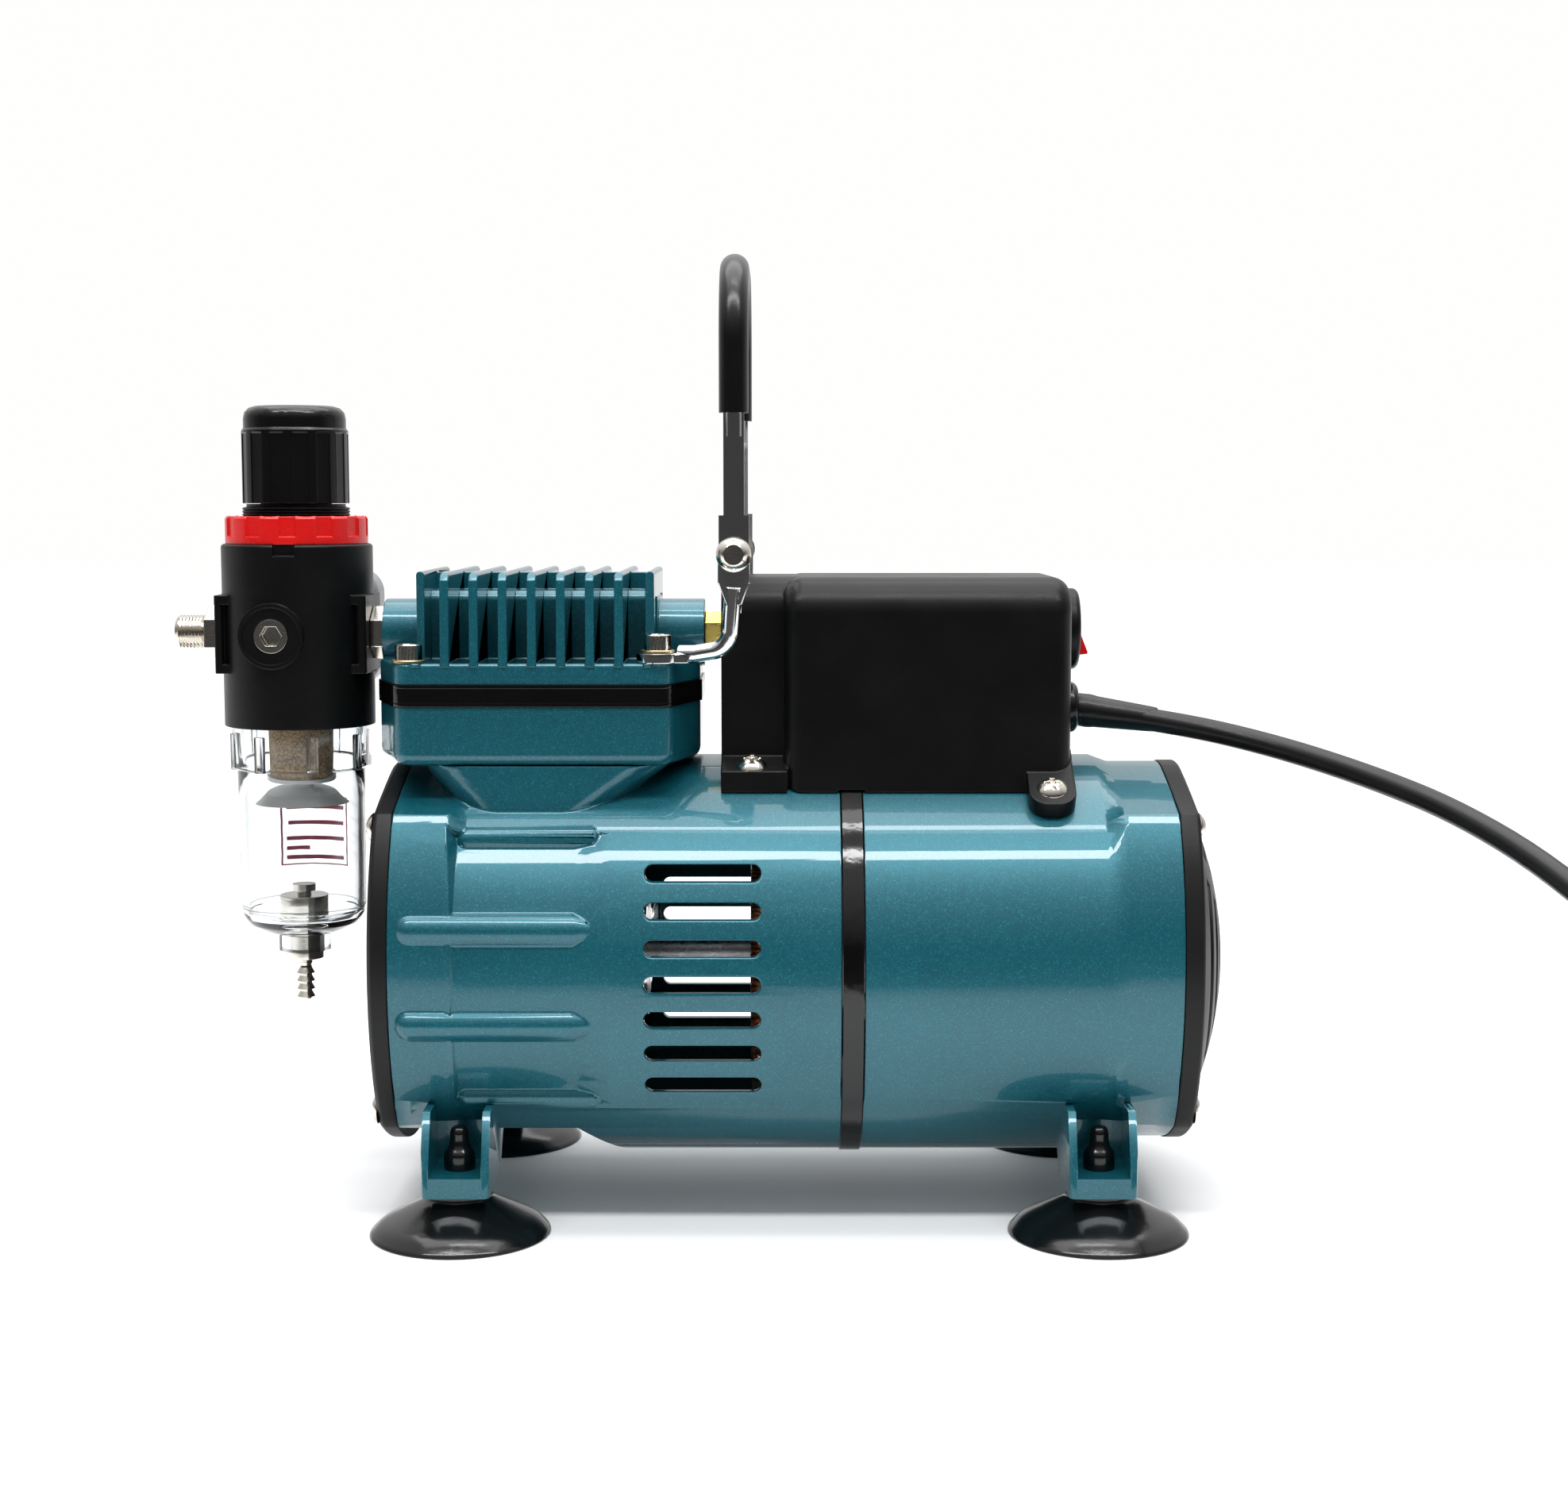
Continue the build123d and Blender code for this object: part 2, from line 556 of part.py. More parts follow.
def stator_windings():
    """Copper end windings at both ends of the stack."""
    rings = []
    for x in ((STATOR_X[0] - 15.5, STATOR_X[0]), (STATOR_X[1], STATOR_X[1] + 13)):
        ring = rod_x(43.5, x) - rod_x(29, x)
        rings.append(fillet(ring.edges().filter_by(GeomType.CIRCLE), 4.5))
    return rings


def shaft_bearings():
    """The ball bearings in the crankcase web and in the rear spider."""
    return [rod_x(13.0, x) - rod_x(SHAFT_R + RUN, x) for x in ((-44.0, -36.0), (93.0, 101.0))]


def rear_spider():
    """The cast spider that carries the rear bearing inside the motor casting."""
    x = (94.0, 100.5)
    hub = rod_x(17, x) - rod_x(13.0 + RUN, (90, 103))
    for k in range(3):
        arm = block(x, (-4, 4), (16, ROOM_R - FIT))
        hub += Pos(0, 0, AXIS_Z) * Rot(120 * k, 0, 0) * arm
    return hub & rod_x(ROOM_R - FIT, x)


# ---- Handle ----------------------------------------------------------------------------------------
def handle_bracket():
    """A bent rod with an eye under a head screw and a flattened end at the rivet."""
    x0, y0 = HEAD_SCREWS[1], -HEAD_SCREWS[2]
    seat = HEAD_Z + HEAD_PLATE_T
    z = (seat, seat + 2.6)
    eye = rod_z(5.6, z, x0, y0) + block((x0, x0 + 8), (y0 - 3.4, y0 + 2.2), z)
    path = FilletPolyline(
        (x0 + 5.5, y0 - 0.6, seat + 2.35), (-22.0, -31.0, seat + 2.4), (-12.9, -33.4, seat + 4.0),
        (-11.7, -35.6, 166.5), radius=[3.0, 6.0],
    )
    rod = sweep(Plane(path @ 0, z_dir=path % 0) * Circle(2.3), path)
    spoon = rod_y(4.1, (-37.0, -34.6), PIVOT[0], PIVOT[1])
    spoon += block((PIVOT[0] - 4.1, PIVOT[0] + 4.1), (-37.0, -34.6), (167.5, PIVOT[1]))
    taper = Polyline((-15.8, 168), (-13.6, 162), (-9.8, 162), (-7.6, 168), close=True)
    spoon += Pos(0, -34.6, 0) * extrude(make_face(Plane.XZ * taper), 2.4, dir=(0, -1, 0))
    bracket = eye + rod + spoon - rod_z(2.2, (140, 155), x0, y0)
    return bracket - rod_y(2.0 + RUN, (-40, -30), *PIVOT)


def handle_rivet():
    """The domed rivet that the handle turns on."""
    head = Pos(0, -36.4, 0) * (Sphere(4.6) & Pos(0, -2.5, 0) * Box(10, 5, 10))
    head = head & Pos(0, -38.6, 0) * Box(10, 3.2, 10)
    shank = rod_y(2.0, (-38.0, -30.6), *PIVOT) + rod_y(3.2, (-31.6, -30.4), *PIVOT)
    return Pos(PIVOT[0], 0, PIVOT[1]) * head + shank


def handle_line(height):
    """The handle's middle line, from one leg up and over to the other."""
    x = PIVOT[0]
    top = HANDLE_TOP - GRIP_R
    corners = [(x, -ARM_Y, height), (x, -ARM_Y, top), (x, ARM_Y, top), (x, ARM_Y, height)]
    return FilletPolyline(*corners, radius=20)


def handle_bail():
    """The chromed steel bail, flattened below the grip and at its pivots."""
    line = handle_line(GRIP_LOW - 6)
    bail = sweep(Plane(line @ 0, z_dir=line % 0) * Circle(2.4), line)
    x, z = PIVOT
    leg = block((x - 2.65, x + 2.65), (-ARM_Y - 1.1, -ARM_Y + 1.1), (z + 8, GRIP_LOW + 2))
    y = (-ARM_Y - 1.2, -ARM_Y + 1.2)
    eye = block((x - 3.9, x + 3.9), y, (z, z + 10)) + rod_y(3.9, y, x, z)
    leg += eye - rod_y(2.0 + RUN, (-40, -30), x, z)
    return bail + leg + mirror(leg, Plane.XZ)


def handle_grip():
    """The rubber sleeve on the bail."""
    line = handle_line(GRIP_LOW)
    sleeve = sweep(Plane(line @ 0, z_dir=line % 0) * Circle(GRIP_R), line)
    return sleeve - handle_bail()


# ---- Switch box ------------------------------------------------------------------------------------
def box_outline(depth, inset=0.0):
    """The end view of the switch box: straight sides with large round top edges."""
    y, top = depth - inset, BOX_TOP - inset
    face = make_face(Plane.YZ * Polyline((-y, 96), (-y, top), (y, top), (y, 96), close=True))
    return fillet(face.vertices().group_by(Axis.Z)[-1], 10.0 - inset)


def box_body(inset=0.0):
    """The switch box as a solid, with its narrower left end."""
    left, right = BOX_X[0] + inset, BOX_X[1] - inset
    step = BOX_STEP_X + inset
    wide = Pos(step, 0, 0) * extrude(box_outline(BOX_FACE_Y, inset), right - step, dir=(1, 0, 0))
    narrow = Pos(left, 0, 0) * extrude(box_outline(BOX_STEP_Y, inset), 30, dir=(1, 0, 0))
    if not inset:
        end = wide.faces().sort_by(Axis.X)[-1].edges().filter_by(Axis.Z, reverse=True)
        wide = fillet(end.sort_by(Axis.Z)[1:], 5.0)
        wide = fillet(wide.faces().sort_by(Axis.X)[0].edges().sort_by(Axis.Z)[1:], 5.0)
    return wide + narrow


def on_barrel(shape, angle):
    """The shape turned from the top of the barrel to the front, with its mirror image at the back."""
    return front_and_back(Pos(0, 0, AXIS_Z) * Rot(angle, 0, 0) * shape)


def screw_ears():
    """The shelf at the left end of the switch box and the tongue at its right, with their mirror images."""
    (_, seat, angle), (x, tongue_seat, tongue_angle) = EARS
    shelf = block((BOX_X[0], BOX_STEP_X + 1), (-12, 9), (BARREL_R - 3, seat))
    trim = block((-30, 30), (-BOX_FACE_Y, BOX_FACE_Y), (90, 140))
    tongue = block((x - 6.2, x + 6.2), (-6.2, 16), (BARREL_R - 2, tongue_seat))
    tongue = fillet(tongue.edges().filter_by(Axis.Z).group_by(Axis.Y)[0], 5.0)
    return [piece & trim for piece in on_barrel(shelf, angle)] + on_barrel(tongue, tongue_angle)


def switch_box():
    """Moulded cover of the switch, the pressure switch and the capacitor."""
    shell = box_body()
    for ear in screw_ears():
        shell += ear
    shell -= box_body(BOX_WALL) + block((BOX_X[0] + BOX_WALL, BOX_X[1] - BOX_WALL), (-17, 17), (90, 150))
    shell -= rod_x(BARREL_R + 0.2, (-30, 95))
    shell -= squared_clearance()
    for x, _, angle in EARS:
        shell -= on_barrel(rod_z(2.0, (40, 75), x), angle)
    shell -= rod_x(SWITCH_R - 1.5, (70, 90), 0, SWITCH_Z) + rod_x(GROMMET_R - 1.5, (70, 90), 0, GROMMET_Z)
    return shell - rod_x(5.2, (-20, -10), 0, PORT_Z)


def squared_clearance():
    """Room over the rubber band, which stands proud of the barrel."""
    return rod_x(BARREL_R + 0.8, (BAND_X[0] - 0.5, BAND_X[1] + 0.5))


def box_screws():
    """The four screws that hold the switch box on the barrel."""
    screws = []
    for x, seat, angle in EARS:
        screw = pan_head() + rod_z(1.8, (-3.0, 0.5))
        screws += on_barrel(Pos(x, 0, seat) * screw, angle)
    return screws


def switch_bezel():
    """The round bezel of the rocker switch."""
    x = BOX_X[1]
    ring = rod_x(SWITCH_R, (x, x + 4.2), 0, SWITCH_Z)
    ring = fillet(ring.faces().sort_by(Axis.X)[-1].edges(), 1.6)
    ring += rod_x(SWITCH_R - 1.7, (x - 14, x), 0, SWITCH_Z)
    return ring - block((x - 9, x + 6), (-5.6, 5.6), (SWITCH_Z - 8.2, SWITCH_Z + 8.2))


def rocker_button():
    """The red rocker, on at the lower end."""
    x = BOX_X[1]
    profile = [(1.2, -7.2), (6.8, -6.6), (4.2, 0), (4.0, 7.0), (-1.0, 6.6), (-3.6, 0)]
    face = make_face(Plane.XZ * Polyline(*profile, close=True))
    rocker = Pos(x, 0, SWITCH_Z) * extrude(face, 5.2, both=True)
    return fillet(rocker.edges().filter_by(Axis.Y).sort_by(Axis.X)[-3:], 0.5)


def cord_grommet():
    """The strain relief that the mains lead leaves through."""
    x = BOX_X[1]
    ring = rod_x(GROMMET_R, (x, x + 4.5), 0, GROMMET_Z)
    ring = fillet(ring.faces().sort_by(Axis.X)[-1].edges(), 2.0)
    ring += rod_x(GROMMET_R - 1.7, (x - 5, x), 0, GROMMET_Z) + rod_x(4.2, (x + 4, x + 7.5), 0, GROMMET_Z - 1)
    return ring - rod_x(LEAD_R, (x - 8, x + 12), 0, LEAD_ROUTE[0][2])


def pressure_switch():
    """The diaphragm switch that stops the motor at its set pressure."""
    can = rod_x(15, (-5, 6), 0, 146.0) + block((6, 26), (-11, 11), (135, 158))
    return can + rod_x(4.4, (-12.5, -4), 0, PORT_Z)


def brass_fitting():
    """Hexagonal fitting between the head's right port and the pressure switch."""
    tail = rod_x(4.2, (PORT_X[1] - 8, PORT_X[1]), 0, PORT_Z)
    return hex_x(10.0, (PORT_X[1], -15.6), PORT_Z) + tail + rod_x(3.0, (-15.6, -12.5), 0, PORT_Z)


def run_capacitor():
    """The motor's run capacitor."""
    can = block((30, 60), (-11, 11), (124, 148))
    return fillet(can.edges().filter_by(Axis.X), 3.0)


# ---- Regulator -------------------------------------------------------------------------------------
def regulator_body():
    """Black body with port lugs at both sides, a plugged port and the gauge port at the back."""
    low, high = REG_Z
    body = rod_z(REG_R, REG_Z, REG_X)
    body = chamfer(body.faces().sort_by(Axis.Z)[-1].edges(), 0.6)
    for hand in (-1, 1):
        x = sorted((REG_X + hand * 14.5, REG_X + hand * 20.3))
        lug = block(x, (-12.0, 12.0), (142.5, 163.5))
        groove_x = sorted((REG_X + hand * 14.4, REG_X + hand * 18.2))
        for y in ((-12.1, -10.2), (10.2, 12.1)):
            lug -= block(groove_x, y, (145.0, 161.0))
        body += chamfer(lug.edges().filter_by(Axis.Z).group_by(Axis.X)[0 if hand < 0 else -1], 0.5)
    port_x = REG_X - 3.4
    body += rod_y(8.7, (-REG_R - 0.6, -15), port_x, PORT_Z)
    body -= rod_y(7.6, (-REG_R - 1, -REG_R), port_x, PORT_Z)
    for radius, z in ((15.0, (low, low + 1.2)), (11.0, (low, 137)), (5.0, (low, 158)), (13.0, (158, high))):
        body -= rod_z(radius, z, REG_X)
    body -= rod_x(4.9, (REG_X - 25, REG_X + 25), 0, PORT_Z) + rod_y(4.6, (-25, 0), port_x, PORT_Z)
    body -= rod_y(3.4, (0, 25), REG_X, PORT_Z)
    return body - block((REG_X - 2.5, REG_X + 3.1), (-25, -18.6), (174.0, 178))


def lock_ring():
    """Red castellated ring that clamps the bonnet."""
    ring = rod_z(RING_R, (REG_Z[1], RING_TOP), REG_X)
    ring = chamfer(ring.faces().sort_by(Axis.Z)[-1].edges(), 0.6)
    ring -= rod_z(NECK_R + FIT, (REG_Z[1], RING_TOP), REG_X)
    for k in range(12):
        notch = Pos(RING_R + 0.3, 0, RING_TOP - 2.6) * Box(2.0, 4.4, 5.6)
        ring -= Pos(REG_X, 0, 0) * Rot(0, 0, 30 * k + 3.7) * notch
    return ring


def regulator_bonnet():
    """Threaded bonnet over the spring, with the neck that the knob turns on."""
    neck = rod_z(NECK_R, (REG_Z[1], NECK_TOP), REG_X) + rod_z(9.5, (NECK_TOP, 199.0), REG_X)
    return neck - rod_z(10.5, (REG_Z[1], 186.0), REG_X) - rod_z(3.0 + RUN, (180, 200), REG_X)


def regulator_knob():
    """Fluted adjusting knob, locked down at rest."""
    low, high = KNOB_Z
    outline = [
        (0, low + 12), (0, high), (10.6, high), (12.2, high - 0.5), (13.3, high - 1.7), (13.65, high - 3.4),
        (13.65, 208.0),
        (KNOB_R, 207.4), (KNOB_R, low), (10.6, low), (10.6, low + 12),
    ]
    knob = turned_z(outline, REG_X)
    for k in range(14):
        flute = Pos(KNOB_R + 0.65, 0, (low + 206.6) / 2 - 1) * Box(2.0, 3.9, 206.6 - low + 2)
        knob -= Pos(REG_X, 0, 0) * Rot(0, 0, 360 / 14 * k + 4) * flute
    return knob - rod_z(3.0 + RUN, (low + 11, low + 17.0), REG_X)


def adjusting_screw():
    """The spindle that the knob drives, with the spring seat."""
    return rod_z(3.0, (181.0, 204.5), REG_X) + rod_z(9.0, (180.0, 182.0), REG_X)


def regulator_spring():
    """The setting spring between the screw's seat and the diaphragm."""
    coil = Helix(pitch=4.0, height=16.0, radius=7.5)
    wire = sweep(Plane(coil @ 0, z_dir=coil % 0) * Circle(0.9), coil, is_frenet=True)
    return Pos(REG_X, 0, 162.6) * wire


def diaphragm():
    """Rubber diaphragm with its valve stem."""
    return rod_z(12.7, (158.4, 160.6), REG_X) + rod_z(2.0, (139, 158.5), REG_X)


def port_plug():
    """Socket plug in the unused front port."""
    x = REG_X - 3.4
    plug = rod_y(4.5, (-REG_R - 0.2, -REG_R + 6), x, PORT_Z)
    socket = Plane.XZ * RegularPolygon(2.5, 6, major_radius=False)
    return plug - Pos(x, -REG_R + 3, PORT_Z) * extrude(socket, 5)


def outlet_fitting():
    """Plated nipple with the air outlet's thread."""
    tip, shoulder = OUTLET_TIP_X, -155.3
    tail = rod_x(4.8, (-151.1, -144), 0, PORT_Z)
    thread = chamfer(rod_x(OUTLET_R, (tip, shoulder), 0, PORT_Z).faces().sort_by(Axis.X)[0].edges(), 0.8)
    return hex_x(13.0, (shoulder, -151.1), PORT_Z) + thread + tail - rod_x(2.4, (tip, -144), 0, PORT_Z)


def regulator_nipple():
    """Plated nipple that carries the regulator on the head's left port."""
    nut = hex_x(12.5, (-110.5, PORT_X[0]), PORT_Z)
    nut += rod_x(4.8, (-117, -110.5), 0, PORT_Z) + rod_x(4.3, (PORT_X[0], -100), 0, PORT_Z)
    return nut - rod_x(2.4, (-118, -99), 0, PORT_Z)


def filter_element():
    """Sintered bronze filter on its stem."""
    return rod_z(8.7, (113.0, 134.0), REG_X) - rod_z(3.2, (112, 136), REG_X)


def filter_baffle():
    """White stem, disc and umbrella below the filter."""
    umbrella = [(0, 110.4), (9.5, 108.9), (12.6, 106.5), (12.0, 106.5), (9.0, 107.9), (0, 108.6)]
    stem = rod_z(3.0, (108.8, 136.5), REG_X) - rod_z(1.2, (130, 137), REG_X)
    return rod_z(9.5, (112.0, 112.9), REG_X) + turned_z(umbrella, REG_X) + stem


def bowl():
    """Clear bowl, screwed into the body, with its lugs and its drain neck."""
    outer = [
        (7.1, 65.7), (7.1, 70.4), (9.5, 70.9), (11.9, 71.9), (15.0, 73.5), (16.4, 75.9), (16.9, 80.0),
        (17.2, 116.0),
    ]
    collar = [(BOWL_R, 116.6), (BOWL_R, BOWL_TOP), (BOWL_R - 2.4, BOWL_TOP)]
    inner = [
        (15.4, 116.0), (15.1, 80.6), (14.7, 77.4), (13.6, 75.5), (10.8, 74.2), (7.4, 73.2), (4.2, 73.0),
        (4.2, 65.7),
    ]
    shell = turned_z(outer + collar + inner, REG_X)
    for k in range(8):
        lug = Pos(BOWL_R - 0.1, 0, 121.0) * Box(1.4, 3.0, 10.0)
        shell += Pos(REG_X, 0, 0) * Rot(0, 0, 45 * k + 20) * lug
    return shell


def bowl_nut():
    """Plated nut and flange that hold the drain in the bowl."""
    nut = rod_z(6.6, (73.2, 81.0), REG_X) + rod_z(4.1, (63.4, 74), REG_X) + rod_z(5.1, (63.3, 65.6), REG_X)
    return nut - rod_z(1.9 + RUN, (60, 82), REG_X)


def drain_barb():
    """Push-up drain stem with a hose barb."""
    outline = [(0, 84.0), (3.2, 84.0), (3.2, 82.2), (1.9, 82.2), (1.9, 62.0), (1.6, 61.2)]
    for k in range(4):
        top = 60.6 - 2.2 * k
        outline += [(1.7, top), (2.5, top - 1.5), (1.7, top - 1.7)]
    return turned_z(outline + [(1.5, 51.9), (0, 51.9)], REG_X)


def gauge_case():
    """Rounded-square gauge housing with its stem."""
    face = Plane.XZ * RectangleRounded(35, 33, 7)
    case = Pos(REG_X, GAUGE_Y[1], PORT_Z) * extrude(face, GAUGE_Y[1] - GAUGE_Y[0])
    case = fillet(case.faces().sort_by(Axis.Y)[0].edges(), 3.0)
    case -= rod_y(14.4, (GAUGE_Y[0] + 4, GAUGE_Y[1]), REG_X, PORT_Z)
    return case + rod_y(3.3, (15, GAUGE_Y[0] + 1), REG_X, PORT_Z) + hex_stub()


def hex_stub():
    """The wrench flats on the gauge's stem."""
    face = Plane.XZ * RegularPolygon(5.0, 6, major_radius=False)
    return Pos(REG_X, GAUGE_Y[0], PORT_Z) * extrude(face, GAUGE_Y[0] - REG_R - 0.1)


def gauge_dial():
    """The gauge's printed face."""
    return rod_y(14.3, (GAUGE_Y[0] + 4.1, GAUGE_Y[0] + 5.1), REG_X, PORT_Z)


def gauge_lens():
    """The clear window of the gauge."""
    return rod_y(14.3, (GAUGE_Y[1] - 2.2, GAUGE_Y[1] - 0.8), REG_X, PORT_Z)


def gauge_needle():
    """Pointer on its hub, at zero."""
    hub = rod_y(1.8, (31.0, 32.4), REG_X, PORT_Z)
    pointer = block((-0.55, 0.55), (31.2, 31.9), (-3.5, 11.5))
    return hub + Pos(REG_X, 0, PORT_Z) * Rot(0, 135, 0) * pointer


# ---- Mains lead ------------------------------------------------------------------------------------
def lead_path():
    """The lead's route as straight runs joined by the largest arcs that they allow."""
    points = [Vector(*p) for p in LEAD_ROUTE]
    radii = []
    for before, here, after in zip(points, points[1:], points[2:]):
        first, second = here - before, after - here
        turn = radians(first.get_angle(second))
        radii.append(0.45 * min(first.length, second.length) / tan(turn / 2))
    print("lead radii in mm:", [round(radius) for radius in radii])
    return FilletPolyline(*points, radius=radii)


def power_lead():
    """The free stretches of the lead, from the grommet to the coil and from the coil to the plug."""
    path = lead_path()
    tube = sweep(Plane(path @ 0, z_dir=path % 0) * Circle(LEAD_R), path)
    section = pi * LEAD_R ** 2 * path.length
    print(f"lead tube: {path.length:.1f} mm long, volume {tube.volume:.0f} of {section:.0f}")
    x, y = PLUG_MIDDLE
    return tube, rod_y(LEAD_R, (y - PLUG_R - 28.5, y - PLUG_R - 8), x, LEAD_R + 0.2)


def lead_coil():
    """The outer shape of the coil that the rest of the lead is wound into."""
    inner, outer = COIL_RADII
    ring = rod_z(outer, (0.0, COIL_TOP), *COIL_MIDDLE) - rod_z(inner, (0.0, COIL_TOP), *COIL_MIDDLE)
    return fillet(ring.edges(), 2.9)


def power_plug():
    """Moulded angled plug with two round pins, lying with its pins up."""
    x, y = PLUG_MIDDLE
    body = rod_z(PLUG_R, (0, PLUG_T), x, y) + block((x - 6, x + 6), (y - PLUG_R - 8, y), (0, 11))
    body = fillet(body.edges().group_by(Axis.Z)[-1], 2.0)
    for hand in (-1, 1):
        body += rod_z(2.4, (PLUG_T - 1, PLUG_T + 19), x + 9.5 * hand, y)
    return body


PIECES = [
    crankcase_housing, motor_housing, joint_band, front_cover, rear_cover, cover_screws, rear_spider,
    cylinder_liner, gaskets, valve_reeds, cylinder_head, head_screws,
    motor_shaft, crank_disc, crank_pin, rod_bearing, connecting_rod, piston_cup,
    rotor, cooling_fan, stator_core, stator_windings, shaft_bearings,
    handle_bail, handle_grip, switch_box, box_screws, switch_bezel, rocker_button, cord_grommet,
    pressure_switch, brass_fitting, run_capacitor,
    regulator_body, lock_ring, regulator_bonnet, regulator_knob, adjusting_screw, regulator_spring,
    diaphragm, port_plug, outlet_fitting, regulator_nipple, filter_element, filter_baffle,
    bowl, bowl_nut, drain_barb, gauge_case, gauge_dial, gauge_lens, gauge_needle,
    power_lead, lead_coil, power_plug,
]


def main():
    """Writes every node to parts/."""
    os.makedirs("parts", exist_ok=True)
    for make in PIECES:
        made = make()
        save(make.__name__, *(made if isinstance(made, (list, tuple)) else [made]))
    for end, y in (("front", -FOOT_Y), ("rear", FOOT_Y)):
        save(f"suction_feet_{end}", *[Pos(0, y, 0) * foot for foot in suction_feet()])
    save("valve_plate", seal_plate((BLOCK_Z[1] + SEAL_T, HEAD_Z - SEAL_T)))
    save("handle_brackets", *front_and_back(handle_bracket()))
    save("handle_rivets", *front_and_back(handle_rivet()))


if __name__ == "__main__":
    main()
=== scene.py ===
"""Blender looks of the airbrush compressor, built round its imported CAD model.

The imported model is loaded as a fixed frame. Every CAD node keeps its place, gets a finish of its own, and
the pieces that need more than CAD gives are modelled here and ride on the same bodies.
"""
import json
import logging
import math
from dataclasses import dataclass
from enum import Enum
from typing import Iterable, Optional, Sequence, Union

import bmesh
import bpy
from mathutils import Matrix, Vector

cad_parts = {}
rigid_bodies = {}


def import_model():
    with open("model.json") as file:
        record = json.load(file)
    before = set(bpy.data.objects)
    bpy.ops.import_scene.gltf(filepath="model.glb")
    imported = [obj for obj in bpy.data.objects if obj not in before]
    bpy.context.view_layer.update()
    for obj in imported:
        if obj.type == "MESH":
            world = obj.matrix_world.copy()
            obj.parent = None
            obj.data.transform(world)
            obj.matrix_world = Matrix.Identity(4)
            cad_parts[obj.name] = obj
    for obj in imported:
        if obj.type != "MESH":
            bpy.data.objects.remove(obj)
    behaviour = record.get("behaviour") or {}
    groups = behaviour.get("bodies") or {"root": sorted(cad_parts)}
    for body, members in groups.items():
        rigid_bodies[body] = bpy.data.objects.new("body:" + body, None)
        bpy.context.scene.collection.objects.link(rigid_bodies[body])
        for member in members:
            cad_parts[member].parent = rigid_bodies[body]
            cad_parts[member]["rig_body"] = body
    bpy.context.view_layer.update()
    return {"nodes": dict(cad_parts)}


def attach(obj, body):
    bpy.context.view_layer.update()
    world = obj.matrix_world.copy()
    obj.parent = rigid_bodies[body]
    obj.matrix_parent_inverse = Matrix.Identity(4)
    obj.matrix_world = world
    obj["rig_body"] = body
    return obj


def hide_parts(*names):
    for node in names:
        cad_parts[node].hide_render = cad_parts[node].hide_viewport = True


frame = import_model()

LOG = logging.getLogger("airbrush_compressor")
MM = 0.001
Number = Union[int, float]
Colour = tuple[float, float, float]
Point = tuple[float, float, float]
Outline = tuple[tuple[float, float], ...]
ORIGIN = (0.0, 0.0, 0.0)


# ---- Shader building --------------------------------------------------------------------------------
class Link:
    """A shader value that can be used in Python arithmetic."""

    def __init__(self, shader: "Shader", socket: bpy.types.NodeSocket) -> None:
        """Wraps one output socket of a shader's tree."""
        self.shader = shader
        self.socket = socket

    def _maths(self, operation: str, *values: Union["Link", Number]) -> "Link":
        """Adds one Math node.

        Args:
            operation: The Math node's operation.
            values: Its inputs, in order.

        Returns:
            The node's result.
        """
        return self.shader.node("Math", {"operation": operation}, list(values))

    def __add__(self, other: Union["Link", Number]) -> "Link":
        """This value plus another."""
        return self._maths("ADD", self, other)

    def __rsub__(self, other: Union["Link", Number]) -> "Link":
        """Another value less this one."""
        return self._maths("SUBTRACT", other, self)

    def __mul__(self, other: Union["Link", Number]) -> "Link":
        """This value times another."""
        return self._maths("MULTIPLY", self, other)

    def ramp(self, low: Number, high: Number, to_low: Number = 0.0, to_high: Number = 1.0) -> "Link":
        """This value mapped from one range to another and held at its ends."""
        return self.shader.node("MapRange", {"clamp": True}, [self, low, high, to_low, to_high])

    def either(self, other: "Link") -> "Link":
        """The larger of two values."""
        return self._maths("MAXIMUM", self, other)


